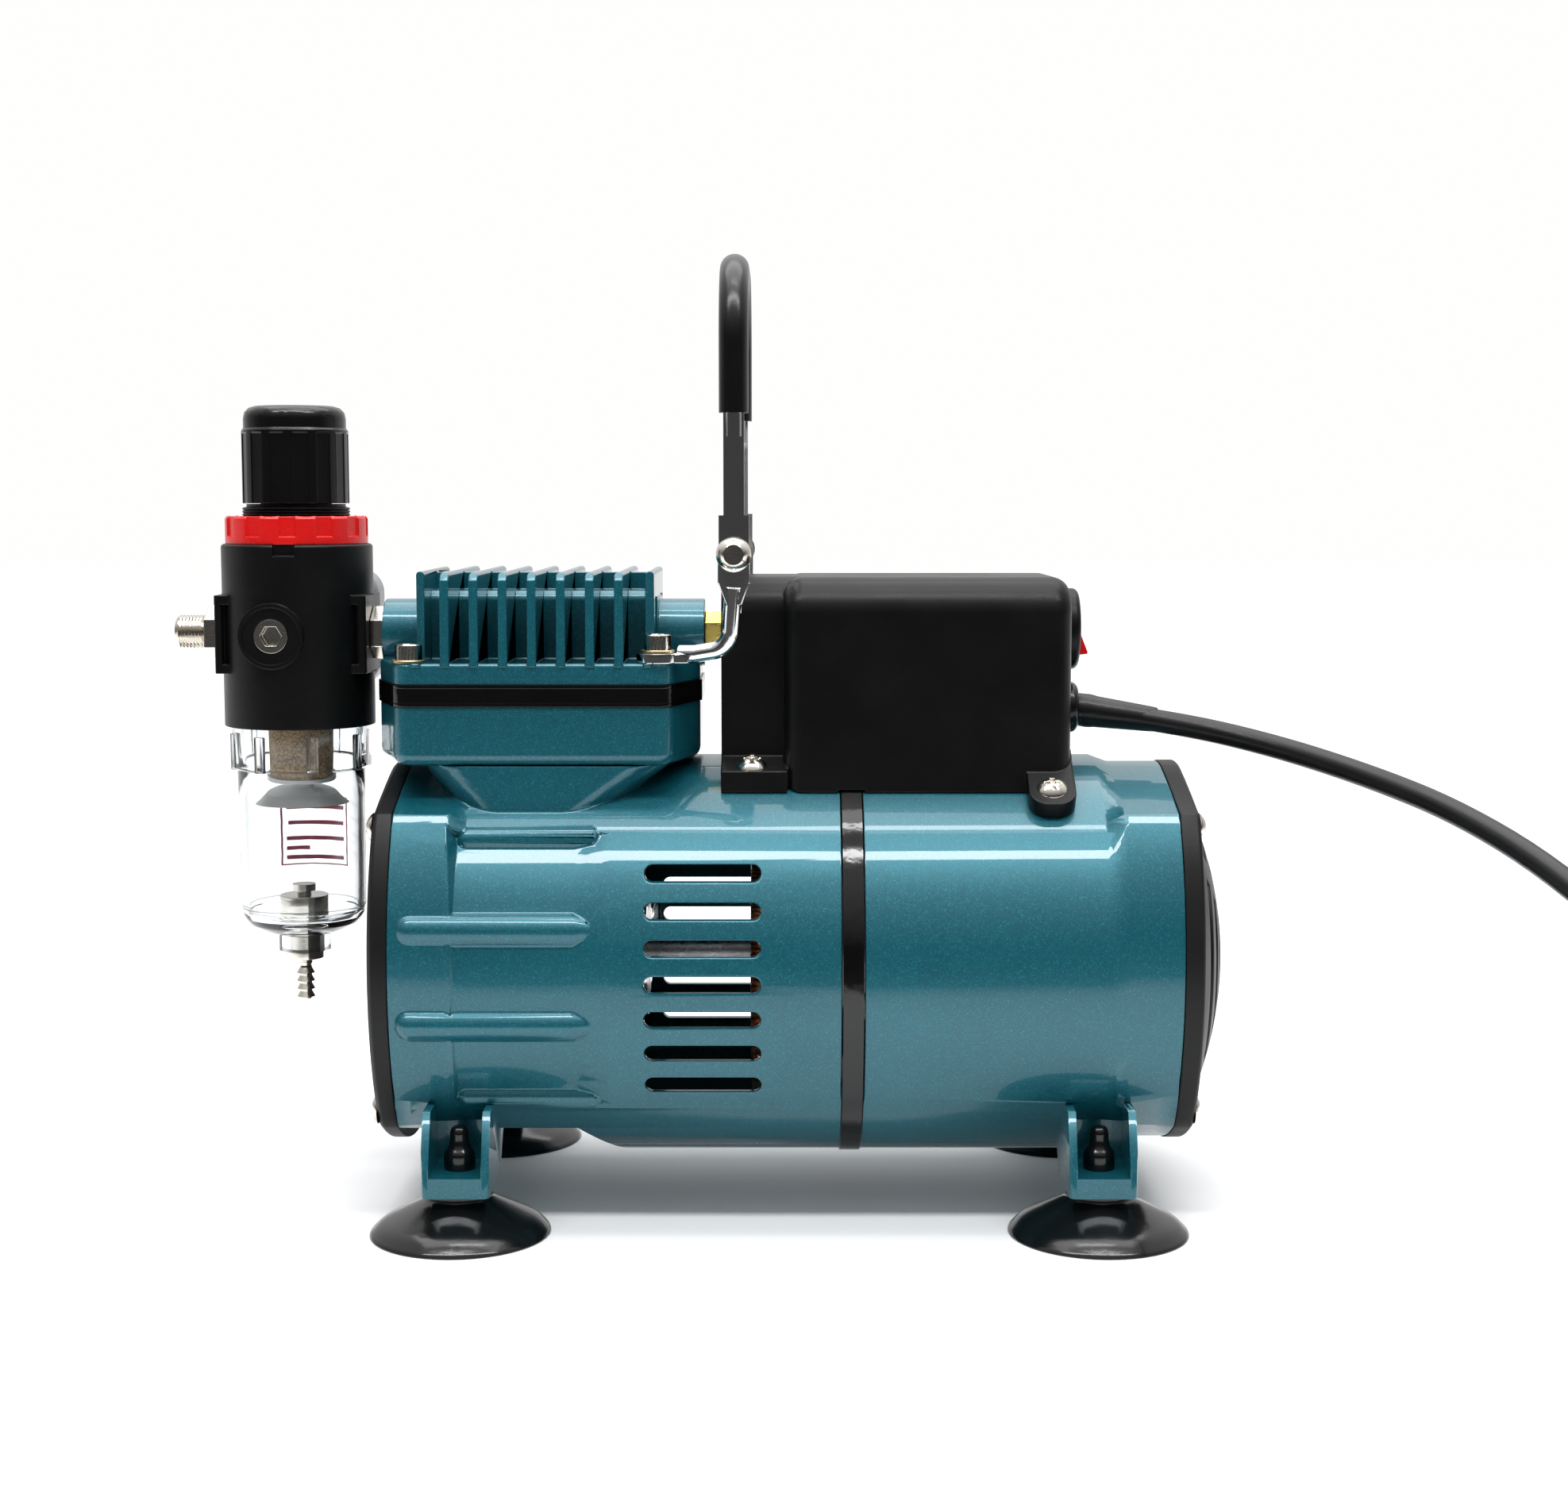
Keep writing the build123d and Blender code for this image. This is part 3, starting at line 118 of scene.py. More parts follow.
class Shader:
    """A material and the nodes that make it."""

    def __init__(self, name: str) -> None:
        """Starts a material with a Principled shader."""
        self.material = bpy.data.materials.new(name)
        self.material.use_nodes = True
        self.tree = self.material.node_tree
        self.tree.nodes.clear()
        self.principled = self.tree.nodes.new("ShaderNodeBsdfPrincipled")
        self.output = self.tree.nodes.new("ShaderNodeOutputMaterial")
        self.tree.links.new(self.principled.outputs[0], self.output.inputs["Surface"])

    def _feed(self, socket: bpy.types.NodeSocket, value: object) -> None:
        """Links or sets one input."""
        if isinstance(value, Link):
            self.tree.links.new(value.socket, socket)
        elif value is not None:
            if socket.type == "RGBA" and len(value) == 3:
                value = (*value, 1.0)
            socket.default_value = value

    def node(
        self, kind: str, settings: Optional[dict] = None, values: object = (), output: object = 0,
    ) -> Link:
        """Adds one node.

        Args:
            kind: The node's type, without the ShaderNode in front.
            settings: Its settings, such as an operation.
            values: Its inputs, by name or in order. None leaves an input alone.
            output: The output wanted, by name or number.

        Returns:
            The chosen output.
        """
        made = self.tree.nodes.new("ShaderNode" + kind)
        for name, value in (settings or {}).items():
            setattr(made, name, value)
        pairs = values.items() if isinstance(values, dict) else enumerate(values)
        for key, value in pairs:
            self._feed(made.inputs[key], value)
        return Link(self, made.outputs[output])

    def mix(self, factor: Union[Link, Number], first: object, second: object) -> Link:
        """A colour between two colours."""
        made = self.tree.nodes.new("ShaderNodeMix")
        made.data_type = "RGBA"
        for socket, value in zip((made.inputs[0], made.inputs[6], made.inputs[7]), (factor, first, second)):
            self._feed(socket, value)
        return Link(self, made.outputs[2])

    def place(self, scale: Union[Number, Point] = 1.0) -> Link:
        """Object coordinates, scaled."""
        scales = (scale,) * 3 if isinstance(scale, (int, float)) else scale
        where = self.node("TexCoord", output="Object")
        return self.node("VectorMath", {"operation": "MULTIPLY"}, [where, scales])

    def noise(self, size: float, detail: float = 2.0, stretch: Point = (1, 1, 1)) -> Link:
        """Soft noise with features of about a size in metres, from 0 to 1."""
        vector = self.place(tuple(1.0 / (size * s) for s in stretch))
        return self.node("TexNoise", values={"Vector": vector, "Scale": 1.0, "Detail": detail})

    def cells(self, size: float, output: str = "Distance") -> Link:
        """Small random cells of about a size in metres."""
        return self.node("TexVoronoi", values={"Vector": self.place(1.0 / size), "Scale": 1.0}, output=output)

    def axis(self, name: str) -> Link:
        """One object coordinate in metres."""
        return self.node("SeparateXYZ", values=[self.place(1.0)], output=name)

    def bump(self, height: Link, depth: float) -> Link:
        """A normal from a height between 0 and 1 of a depth in metres."""
        return self.node("Bump", values={"Strength": 1.0, "Distance": depth, "Height": height})

    def finish(self, **inputs: object) -> bpy.types.Material:
        """Sets the Principled shader's inputs.

        Args:
            inputs: Values by the input's name, with _ for each space.

        Returns:
            The finished material.
        """
        for name, value in inputs.items():
            self._feed(self.principled.inputs[name.replace("_", " ")], value)
        return self.material


# ---- Finishes ---------------------------------------------------------------------------------------
@dataclass(frozen=True)
class FlakePaint:
    """Glossy enamel with fine metal flakes under its clear coat."""

    name: str
    colour: Colour
    light: Colour
    slot: str

    def material(self) -> bpy.types.Material:
        """Flakes vary the colour, the brightest as painted glints, and a fine orange peel moves the gloss."""
        s = Shader(self.name)
        flake = s.node("SeparateXYZ", values=[s.cells(0.00022, "Color")], output="X")
        drift = s.noise(0.03)
        # The lighter flakes are partly the flakes' own random tone; the brightest are painted glints that
        # stand in for sparkle.
        flake_tone_and_painted_glint = flake.ramp(0.86, 0.99) * 0.50 + flake.ramp(0.2, 0.9) * 0.16 + drift.ramp(0.3, 0.7) * 0.06
        colour = s.mix(flake_tone_and_painted_glint, self.colour, self.light)
        peel = s.noise(0.0026, 3.0)
        return s.finish(
            Base_Color=colour, Metallic=0.38, Roughness=flake.ramp(0.0, 1.0, 0.34, 0.48),
            Coat_Weight=0.85, Coat_Roughness=0.035, Coat_IOR=1.42, Normal=s.bump(peel, 0.00003),
        )


@dataclass(frozen=True)
class Moulded:
    """Moulded plastic or rubber with a fine grain."""

    name: str
    colour: Colour
    slot: str
    roughness: float = 0.42
    grain: float = 0.00035
    depth: float = 0.00002
    coat: float = 0.0
    specular: float = 0.5

    def material(self) -> bpy.types.Material:
        """Grain moves the gloss and the surface, and slow marks vary the sheen."""
        s = Shader(self.name)
        grain = s.noise(self.grain, 2.0)
        marks = s.noise(0.018, 3.0)
        low, high = self.roughness * 0.86, self.roughness * 1.16
        lift = tuple(channel * 1.15 + 0.002 for channel in self.colour)
        return s.finish(
            Base_Color=s.mix(marks.ramp(0.35, 0.75, 0.0, 0.35), self.colour, lift),
            Roughness=(grain * 0.3 + marks * 0.7).ramp(0.3, 0.7, low, high),
            Coat_Weight=self.coat, Coat_Roughness=0.08, Specular_IOR_Level=self.specular,
            Normal=s.bump(grain, self.depth),
        )


@dataclass(frozen=True)
class Plated:
    """Bright or brushed metal with faint handling marks."""

    name: str
    colour: Colour
    slot: str
    roughness: float = 0.12
    turned: float = 0.0
    tarnish: float = 0.15

    def material(self) -> bpy.types.Material:
        """Fine scratches and slow tarnish vary the gloss and the colour."""
        s = Shader(self.name)
        marks = s.noise(0.006, 4.0)
        fine = s.noise(0.0004, 2.0, (6.0, 1.0, 1.0))
        dull = tuple(channel * 0.62 for channel in self.colour)
        return s.finish(
            Base_Color=s.mix(marks.ramp(0.45, 0.8, 0.0, self.tarnish * 2), self.colour, dull), Metallic=1.0,
            Roughness=(marks * 0.5 + fine * 0.5).ramp(0.3, 0.75, self.roughness * 0.7, self.roughness * 1.5),
            Normal=s.bump(fine, 0.000004 + 0.00002 * self.turned),
        )


@dataclass(frozen=True)
class Clear:
    """Clear moulded plastic."""

    name: str
    colour: Colour
    slot: str
    roughness: float = 0.02
    ior: float = 1.49

    def material(self) -> bpy.types.Material:
        """Faint flow marks bend what is seen through it, and painted shade darkens its rims where it is seen
        edge-on.
        """
        s = Shader(self.name)
        flow = s.noise(0.009, 2.0)
        # Painted shade: the colour darkens towards the rims, where the surface is seen edge-on.
        painted_rim_shade_mask = s.node("LayerWeight", values={"Blend": 0.35}, output="Facing")
        rim = tuple(channel * 0.22 for channel in self.colour)
        return s.finish(
            Base_Color=s.mix(painted_rim_shade_mask.ramp(0.3, 0.85), self.colour, rim), Roughness=self.roughness,
            IOR=self.ior, Transmission_Weight=1.0, Normal=s.bump(flow, 0.00005),
        )


@dataclass(frozen=True)
class Sintered:
    """Porous bronze of small fused balls."""

    name: str
    colour: Colour
    slot: str

    def material(self) -> bpy.types.Material:
        """Cells make the balls, with painted shade darkening the gaps between them."""
        s = Shader(self.name)
        ball = s.cells(0.00075)
        tint = s.noise(0.004, 2.0)
        # Painted shade: the colour darkens towards each cell's edge, in the gaps between the balls.
        painted_gap_shade = tuple(channel * 0.45 for channel in self.colour)
        body = s.mix(ball.ramp(0.25, 0.75), self.colour, painted_gap_shade)
        pale = tuple(min(1.0, channel * 1.3) for channel in self.colour)
        return s.finish(
            Base_Color=s.mix(tint.ramp(0.4, 0.7, 0.0, 0.5), body, pale), Metallic=0.25, Roughness=0.62,
            Normal=s.bump(1.0 - ball, 0.00025),
        )


@dataclass(frozen=True)
class Wound:
    """Enamelled copper wire laid side by side."""

    name: str
    colour: Colour
    slot: str

    def material(self) -> bpy.types.Material:
        """Bands across the winding stand for its wires, with painted shade in the grooves between them."""
        s = Shader(self.name)
        wire = s.node(
            "TexWave", {"bands_direction": "DIAGONAL"},
            {"Vector": s.place(1.0), "Scale": 420.0, "Distortion": 3.0, "Detail": 1.0},
        )
        # Painted shade: the troughs of the bands are darkened, in the grooves between the wires.
        painted_gap_shade = tuple(channel * 0.35 for channel in self.colour)
        return s.finish(
            Base_Color=s.mix(wire, painted_gap_shade, self.colour), Metallic=0.85, Roughness=0.34,
            Coat_Weight=0.6, Coat_Roughness=0.15, Normal=s.bump(wire, 0.0004),
        )


@dataclass(frozen=True)
class Stacked:
    """Laminated steel, with its sheets across the shaft."""

    name: str
    colour: Colour
    slot: str
    sheet: float = 0.0005

    def material(self) -> bpy.types.Material:
        """Thin bands along X are the sheets' edges."""
        s = Shader(self.name)
        bands = {"Vector": s.place(1.0), "Scale": 0.31 / self.sheet}
        wave = s.node("TexWave", {"bands_direction": "X"}, bands)
        rust = s.noise(0.008, 4.0)
        brown = (0.16, 0.09, 0.06)
        return s.finish(
            Base_Color=s.mix(rust.ramp(0.55, 0.8, 0.0, 0.4), self.colour, brown), Metallic=0.8,
            Roughness=rust.ramp(0.3, 0.7, 0.38, 0.6), Normal=s.bump(wave, 0.00012),
        )


class Finish(Enum):
    """The finishes of the compressor's pieces."""

    TEAL = FlakePaint("teal_enamel", (0.0012, 0.086, 0.120), (0.012, 0.25, 0.31), "teal_paint")
    SATIN_BLACK = Moulded("satin_black_plastic", (0.0028, 0.0028, 0.003), "black_plastic", 0.34, specular=0.2)
    KNOB_BLACK = Moulded(
        "knob_plastic", (0.003, 0.003, 0.0032), "black_plastic", 0.20, 0.0006, 0.000012, specular=0.4)
    BODY_BLACK = Moulded(
        "regulator_plastic", (0.003, 0.003, 0.0031), "black_plastic", 0.36, 0.0006, 0.00003, specular=0.2)
    COVER_BLACK = Moulded(
        "cover_plastic", (0.005, 0.005, 0.0052), "black_plastic", 0.44, 0.0004, 0.00003, specular=0.25)
    GLOSS_BLACK = Moulded("gloss_black_band", (0.002, 0.002, 0.002), "gloss_black", 0.10, 0.004, 0.0001)
    CUP_RUBBER = Moulded("cup_rubber", (0.003, 0.003, 0.0031), "black_rubber", 0.16, 0.0012, 0.00002)
    GRIP_RUBBER = Moulded(
        "grip_rubber", (0.004, 0.004, 0.0042), "black_rubber", 0.24, 0.0007, 0.00002, specular=0.4)
    JACKET = Moulded(
        "lead_jacket", (0.005, 0.005, 0.0052), "lead_jacket", 0.34, 0.0005, 0.00003, specular=0.35)
    GOLD = Plated("yellow_zinc", (0.78, 0.62, 0.34), "yellow_brass", 0.3, 0.6, 0.3)
    CHROME = Plated("bright_chrome", (0.86, 0.86, 0.87), "chrome", 0.07, 0.0, 0.08)
    NICKEL = Plated("nickel_plate", (0.74, 0.70, 0.63), "nickel_plate", 0.16, 0.4)
    STEEL = Plated("ground_steel", (0.56, 0.56, 0.58), "steel", 0.28, 0.6)
    ALUMINIUM = Plated("machined_aluminium", (0.72, 0.72, 0.74), "aluminium", 0.32, 0.5)
    BRASS = Plated("yellow_brass", (0.80, 0.60, 0.16), "yellow_brass", 0.26, 0.8, 0.3)
    PRINT = Moulded("pink_print", (0.80, 0.13, 0.20), "red_plastic", 0.4)
    RED_RING = Moulded("red_ring_plastic", (0.66, 0.008, 0.008), "red_plastic", 0.28, 0.0008, 0.00001)
    ROCKER_RED = Moulded("rocker_red", (0.70, 0.006, 0.010), "red_rocker", 0.16, 0.001, 0.00001, 0.4)
    WHITE = Moulded("white_plastic", (0.84, 0.84, 0.83), "white_plastic", 0.4)
    GREY = Moulded("gauge_grey", (0.22, 0.225, 0.23), "grey_plastic", 0.34)
    DIAL = Moulded("dial_white", (0.86, 0.86, 0.84), "dial_white", 0.5)
    INK = Moulded("printed_black", (0.012, 0.012, 0.012), "needle_black", 0.5)
    BRONZE = Sintered("sintered_bronze", (0.60, 0.42, 0.24), "sintered_bronze")
    COPPER = Wound("copper_wire", (0.70, 0.25, 0.09), "copper_wire")
    LAMINATION = Stacked("lamination", (0.30, 0.29, 0.29), "lamination")
    CLEAR = Clear("clear_polycarbonate", (0.93, 0.95, 0.96), "clear_plastic")


_MADE: dict[Finish, bpy.types.Material] = {}


def finish_of(finish: Finish) -> bpy.types.Material:
    """The material of a finish, made once."""
    if finish not in _MADE:
        _MADE[finish] = finish.value.material()
    return _MADE[finish]


# ---- Mesh work --------------------------------------------------------------------------------------
SMOOTH_ANGLE = math.radians(32)
FLAT_ANGLE = math.radians(1.0)
MERGE = 0.000002
NORMAL_WEIGHT = 80


def axis_turn(axis: str) -> Matrix:
    """The turn that lays a shape made along Z along another axis."""
    if axis == "X":
        return Matrix.Rotation(math.radians(90), 4, "Y")
    if axis == "Y":
        return Matrix.Rotation(math.radians(-90), 4, "X")
    return Matrix.Identity(4)


def lathe(profile: Sequence[tuple[float, float]], steps: int = 64) -> bmesh.types.BMesh:
    """Turns an outline about Z.

    Args:
        profile: Points as (radius, height) in millimetres, from one pole or rim to the other.
        steps: Faces round the turn.

    Returns:
        A closed mesh in metres.
    """
    bm = bmesh.new()
    chain = [bm.verts.new((r * MM, 0.0, z * MM)) for r, z in profile]
    edges = [bm.edges.new(pair) for pair in zip(chain, chain[1:])]
    bmesh.ops.spin(
        bm, geom=chain + edges, cent=(0, 0, 0), axis=(0, 0, 1), angle=math.tau, steps=steps, use_merge=True,
    )
    bmesh.ops.remove_doubles(bm, verts=bm.verts, dist=MERGE)
    bmesh.ops.dissolve_degenerate(bm, dist=MERGE, edges=bm.edges)
    bmesh.ops.recalc_face_normals(bm, faces=bm.faces)
    return bm


def between(p: float, q: float, r: float, s: float, t: float) -> float:
    """The Catmull-Rom value a share t of the way from the second of four values to the third."""
    square = (2 * p - 5 * q + 4 * r - s) * t ** 2
    cube = (3 * q - p - 3 * r + s) * t ** 3
    return 0.5 * (2 * q + (r - p) * t + square + cube)


def curve_through(points: Sequence[tuple[float, float]], steps: int = 6) -> list[tuple[float, float]]:
    """Rounds an outline with a Catmull-Rom curve.

    Args:
        points: The outline's main points.
        steps: New points in each span.

    Returns:
        The points of the rounded outline.
    """
    padded = [points[0], *points, points[-1]]
    out: list[tuple[float, float]] = []
    for a, b, c, d in zip(padded, padded[1:], padded[2:], padded[3:]):
        for k in range(steps):
            out.append(tuple(between(*four, k / steps) for four in zip(a, b, c, d)))
    return out + [points[-1]]


def joined(parts: Iterable[bmesh.types.BMesh]) -> bmesh.types.BMesh:
    """Puts several meshes into one."""
    whole = bmesh.new()
    for part in parts:
        mesh = bpy.data.meshes.new("part")
        part.to_mesh(mesh)
        part.free()
        whole.from_mesh(mesh)
        bpy.data.meshes.remove(mesh)
    return whole


def moved(bm: bmesh.types.BMesh, place: Point, axis: str = "Z", turn: float = 0.0) -> bmesh.types.BMesh:
    """Turns a mesh about Z, lays it along an axis and moves it.

    Args:
        bm: The mesh.
        place: Where its origin goes, in metres.
        axis: What its Z axis becomes.
        turn: Degrees about its own Z axis first.

    Returns:
        The same mesh.
    """
    about = Matrix.Rotation(math.radians(turn), 4, "Z")
    bmesh.ops.transform(bm, matrix=Matrix.Translation(place) @ axis_turn(axis) @ about, verts=bm.verts)
    return bm


def bevelled(
    bm: bmesh.types.BMesh, width: float, angle: float = 30.0, above: float = -1.0,
) -> bmesh.types.BMesh:
    """Rounds the edges of a mesh that are sharper than an angle.

    Args:
        bm: The mesh.
        width: The bevel's width in metres.
        angle: The least angle in degrees.
        above: Edges below this height in metres are left as they are.

    Returns:
        The same mesh.
    """
    least = math.radians(angle)
    high = [e for e in bm.edges if min(v.co.z for v in e.verts) > above]
    sharp = [e for e in high if len(e.link_faces) == 2 and e.calc_face_angle() > least]
    bmesh.ops.bevel(
        bm, geom=sharp, offset=width, offset_type="OFFSET", segments=2, profile=0.5, affect="EDGES",
        clamp_overlap=False, material=-1,
    )
    return bm


def block(low: Point, high: Point, width: float = 0.0) -> bmesh.types.BMesh:
    """A box between two corners, with its edges rounded."""
    bm = bmesh.new()
    size = [b - a for a, b in zip(low, high)]
    middle = [(a + b) / 2 for a, b in zip(low, high)]
    bmesh.ops.create_cube(bm, size=1.0, matrix=Matrix.Translation(middle) @ Matrix.Diagonal((*size, 1.0)))
    return bevelled(bm, width) if width else bm


def hexagon(across: float, low: float, high: float, cone: float = 0.5) -> bmesh.types.BMesh:
    """A hexagonal nut along Z with its corners turned off at both ends.

    Args:
        across: Width across flats in millimetres.
        low: Its lower end.
        high: Its upper end.
        cone: How far the corners are turned back.

    Returns:
        The mesh, in metres.
    """
    bm = bmesh.new()
    bmesh.ops.create_cone(
        bm, cap_ends=True, segments=6, radius1=across / math.sqrt(3) * MM, radius2=across / math.sqrt(3) * MM,
        depth=(high - low) * MM, matrix=Matrix.Translation((0, 0, (high + low) / 2 * MM)),
    )
    ends = [e for e in bm.edges if abs(e.verts[0].co.z - e.verts[1].co.z) < MERGE]
    bmesh.ops.bevel(
        bm, geom=ends, offset=cone * MM, offset_type="OFFSET", segments=2, profile=0.5, affect="EDGES",
        clamp_overlap=True, material=-1,
    )
    return bm


def publish(
    name: str, shape: bmesh.types.BMesh, finish: Finish, body: str = "base", nodes: Sequence[str] = (),
    smooth: float = SMOOTH_ANGLE,
) -> bpy.types.Object:
    """Makes a finished piece of a mesh.

    Args:
        name: The piece's name.
        shape: Its mesh, in place.
        finish: Its finish.
        body: The body it rides on.
        nodes: CAD nodes that it stands for.
        smooth: Edges sharper than this stay sharp.

    Returns:
        The piece.
    """
    mesh = bpy.data.meshes.new(name)
    shape.to_mesh(mesh)
    shape.free()
    mesh.shade_smooth()
    mesh.set_sharp_from_angle(angle=smooth)
    mesh.materials.append(finish_of(finish))
    piece = bpy.data.objects.new(name, mesh)
    bpy.context.scene.collection.objects.link(piece)
    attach(piece, body)
    if nodes:
        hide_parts(*nodes)
    LOG.info("%s: %d faces, rides on %s", name, len(mesh.polygons), body)
    return piece


def dress(finish: Finish, *names: str) -> None:
    """Gives CAD nodes a finish."""
    for name in names:
        mesh = frame["nodes"][name].data
        mesh.materials.clear()
        mesh.materials.append(finish_of(finish))
        LOG.info("%s: dressed in %s", name, finish.value.name)


def softened(
    name: str, width: float, finish: Finish, angle: float = 35.0, above: float = -1.0,
) -> bpy.types.Object:
    """Stands a copy of a CAD node with rounded edges in for it.

    Args:
        name: The CAD node.
        width: The bevel's width in millimetres.
        finish: Its finish.
        angle: Edges sharper than this many degrees are rounded.
        above: Edges below this height in metres stay sharp.

    Returns:
        The new piece.
    """
    source = frame["nodes"][name]
    bm = bmesh.new()
    bm.from_mesh(source.data)
    bmesh.ops.remove_doubles(bm, verts=bm.verts, dist=MERGE)
    bmesh.ops.dissolve_limit(bm, angle_limit=FLAT_ANGLE, verts=bm.verts, edges=bm.edges)
    bevelled(bm, width * MM, angle, above)
    piece = publish(name + "_cast", bm, finish, source["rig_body"], [name])
    even = piece.modifiers.new("even_normals", "WEIGHTED_NORMAL")
    even.keep_sharp = True
    even.weight = NORMAL_WEIGHT
    return piece


# ---- Castings and mouldings with rounded edges -----------------------------------------------------
@dataclass(frozen=True)
class Rounding:
    """How one CAD node gets rounded edges."""

    node: str
    width: float
    finish: Finish
    angle: float = 35.0
    above: float = -1.0

    def apply(self) -> None:
        """Stands the rounded piece in for its node."""
        softened(self.node, self.width, self.finish, self.angle, self.above)


FOOT_PLATE_TOP = 0.034
ROUNDED = (
    Rounding("crankcase_housing", 0.45, Finish.TEAL, 28.0, FOOT_PLATE_TOP),
    Rounding("motor_housing", 0.5, Finish.TEAL, 28.0, FOOT_PLATE_TOP),
    Rounding("cylinder_head", 0.35, Finish.TEAL, 40.0),
    Rounding("front_cover", 0.4, Finish.COVER_BLACK),
    Rounding("rear_cover", 0.35, Finish.COVER_BLACK),
    Rounding("switch_box", 0.5, Finish.SATIN_BLACK, 40.0),
    Rounding("switch_bezel", 0.25, Finish.SATIN_BLACK, 40.0),
    Rounding("rocker_button", 0.3, Finish.ROCKER_RED),
    Rounding("cord_grommet", 0.25, Finish.GRIP_RUBBER, 40.0),
    Rounding("regulator_body", 0.3, Finish.BODY_BLACK, 40.0),
    Rounding("regulator_knob", 0.2, Finish.KNOB_BLACK, 40.0),
    Rounding("lock_ring", 0.25, Finish.RED_RING, 40.0),
    Rounding("handle_brackets", 0.3, Finish.CHROME, 40.0),
    Rounding("gauge_case", 0.4, Finish.GREY, 40.0),
    Rounding("gaskets", 0.2, Finish.GLOSS_BLACK, 50.0),
    Rounding("joint_band", 0.2, Finish.GLOSS_BLACK, 50.0),
    Rounding("port_plug", 0.15, Finish.NICKEL, 40.0),
    Rounding("brass_fitting", 0.25, Finish.BRASS, 40.0),
    Rounding("regulator_nipple", 0.3, Finish.NICKEL, 40.0),
    Rounding("bowl_nut", 0.25, Finish.NICKEL, 40.0),
    Rounding("cover_screws", 0.2, Finish.NICKEL, 50.0),
    Rounding("box_screws", 0.2, Finish.NICKEL, 50.0),
)


def body_of(node: str) -> str:
    """The body that a CAD node rides on."""
    return frame["nodes"][node]["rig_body"]


# ---- Suction feet ------------------------------------------------------------------------------------
@dataclass
class SuctionFeet:
    """Two rows of suction cups whose necks are pulled up through their brackets, in millimetres."""

    along: tuple[float, float] = (-60.8, 104.4)
    rows: tuple[tuple[str, float], ...] = (("suction_feet_front", -46.4), ("suction_feet_rear", 46.4))
    hollow: Outline = ((0, 3.4), (5, 4.1), (9, 4.2), (15.5, 2.4), (20.5, 0.05))
    rim: Outline = ((23.2, 0.0), (23.35, 0.35), (23.1, 0.9))
    crown: Outline = (
        (23.1, 0.9), (20.2, 3.5), (15.7, 5.85), (12.2, 7.6), (9.7, 8.95), (8.6, 10.0), (8.4, 11.75),
    )
    neck: Outline = ((3.3, 11.75), (3.3, 17.0))
    nub: Outline = (
        (4.0, 17.0), (4.1, 19.0), (3.9, 21.3), (2.9, 22.8), (2.45, 24.6), (2.35, 26.6), (1.6, 27.9),
        (0.0, 28.2),
    )

    def cup(self) -> bmesh.types.BMesh:
        """One cup, turned about Z."""
        outline = [*curve_through(self.hollow, 4), *self.rim[:2], *curve_through(self.crown, 5)]
        return lathe([*outline, *self.neck, *curve_through(self.nub, 4)], 72)

    def build(self) -> None:
        """Makes both rows."""
        for node, y in self.rows:
            cups = joined(moved(self.cup(), (x * MM, y * MM, 0.0)) for x in self.along)
            publish(node + "_cups", cups, Finish.CUP_RUBBER, body_of(node), [node])


# ---- Head screws --------------------------------------------------------------------------------------
@dataclass
class CapScrews:
    """Knurled socket cap screws on yellow washers. Sizes are in millimetres, and seats are (x, height)."""

    seats: tuple[tuple[float, float], ...] = ((-74.6, 146.7), (-9.8, 149.3))
    spacing: float = 29.5
    foot: float = 127.5
    radius: float = 3.5
    height: float = 4.0
    flutes: int = 24
    flute_depth: float = 0.03
    fluted_from: float = 3.2
    socket_rim: tuple[float, float] = (1.5, 1.8)
    socket_depth: float = 2.1
    socket_share: float = 0.94
    washer_height: float = 0.8
    washer_outline: Outline = (
        (2.1, 0.02), (4.25, 0.02), (4.4, 0.15), (4.4, 0.62), (4.2, 0.78), (2.1, 0.78), (2.1, 0.02),
    )

    def screw(self, seat: float) -> bmesh.types.BMesh:
        """One screw whose washer stands at a height."""
        low = seat + self.washer_height
        top = low + self.height
        outline = [
            (0.0, self.foot), (1.7, self.foot), (2.0, self.foot + 0.4), (2.0, low - 0.1), (self.radius, low),
            (self.radius, low + 0.2), (self.radius, top - 0.5), (self.radius - 0.12, top - 0.2),
            (self.radius - 0.4, top), (1.72, top), (1.6, top - 0.12), (1.6, top - 2.0), (0.0, top - 2.4),
        ]
        bm = lathe(outline, self.flutes * 4)
        rim_from, rim_to = self.socket_rim
        for vertex in bm.verts:
            x, y, z = vertex.co
            reach = math.hypot(x, y)
            turn = math.atan2(y, x)
            if reach > self.fluted_from * MM and (low + 0.1) * MM < z < (top - 0.4) * MM:
                scale = 1.0 - self.flute_depth * (0.5 + 0.5 * math.cos(self.flutes * turn))
                vertex.co = (x * scale, y * scale, z)
            elif rim_from * MM < reach < rim_to * MM and z > (top - self.socket_depth) * MM:
                side = (turn + math.pi / 6) % (math.pi / 3) - math.pi / 6
                scale = self.socket_share / math.cos(side)
                vertex.co = (x * scale, y * scale, z)
        return bm

    def washer(self, seat: float) -> bmesh.types.BMesh:
        """One washer at a height."""
        return lathe([(r, seat + z) for r, z in self.washer_outline], 48)

    def build(self) -> None:
        """Makes the four screws and their washers."""
        body = body_of("head_screws")
        places = [(x, hand * self.spacing, seat) for x, seat in self.seats for hand in (-1, 1)]
        for name, make, finish, nodes in (
            ("cap_screws", self.screw, Finish.NICKEL, ["head_screws"]),
            ("cap_washers", self.washer, Finish.GOLD, []),
        ):
            whole = joined(moved(make(seat), (x * MM, y * MM, 0.0)) for x, y, seat in places)
            publish(name, whole, finish, body, nodes)


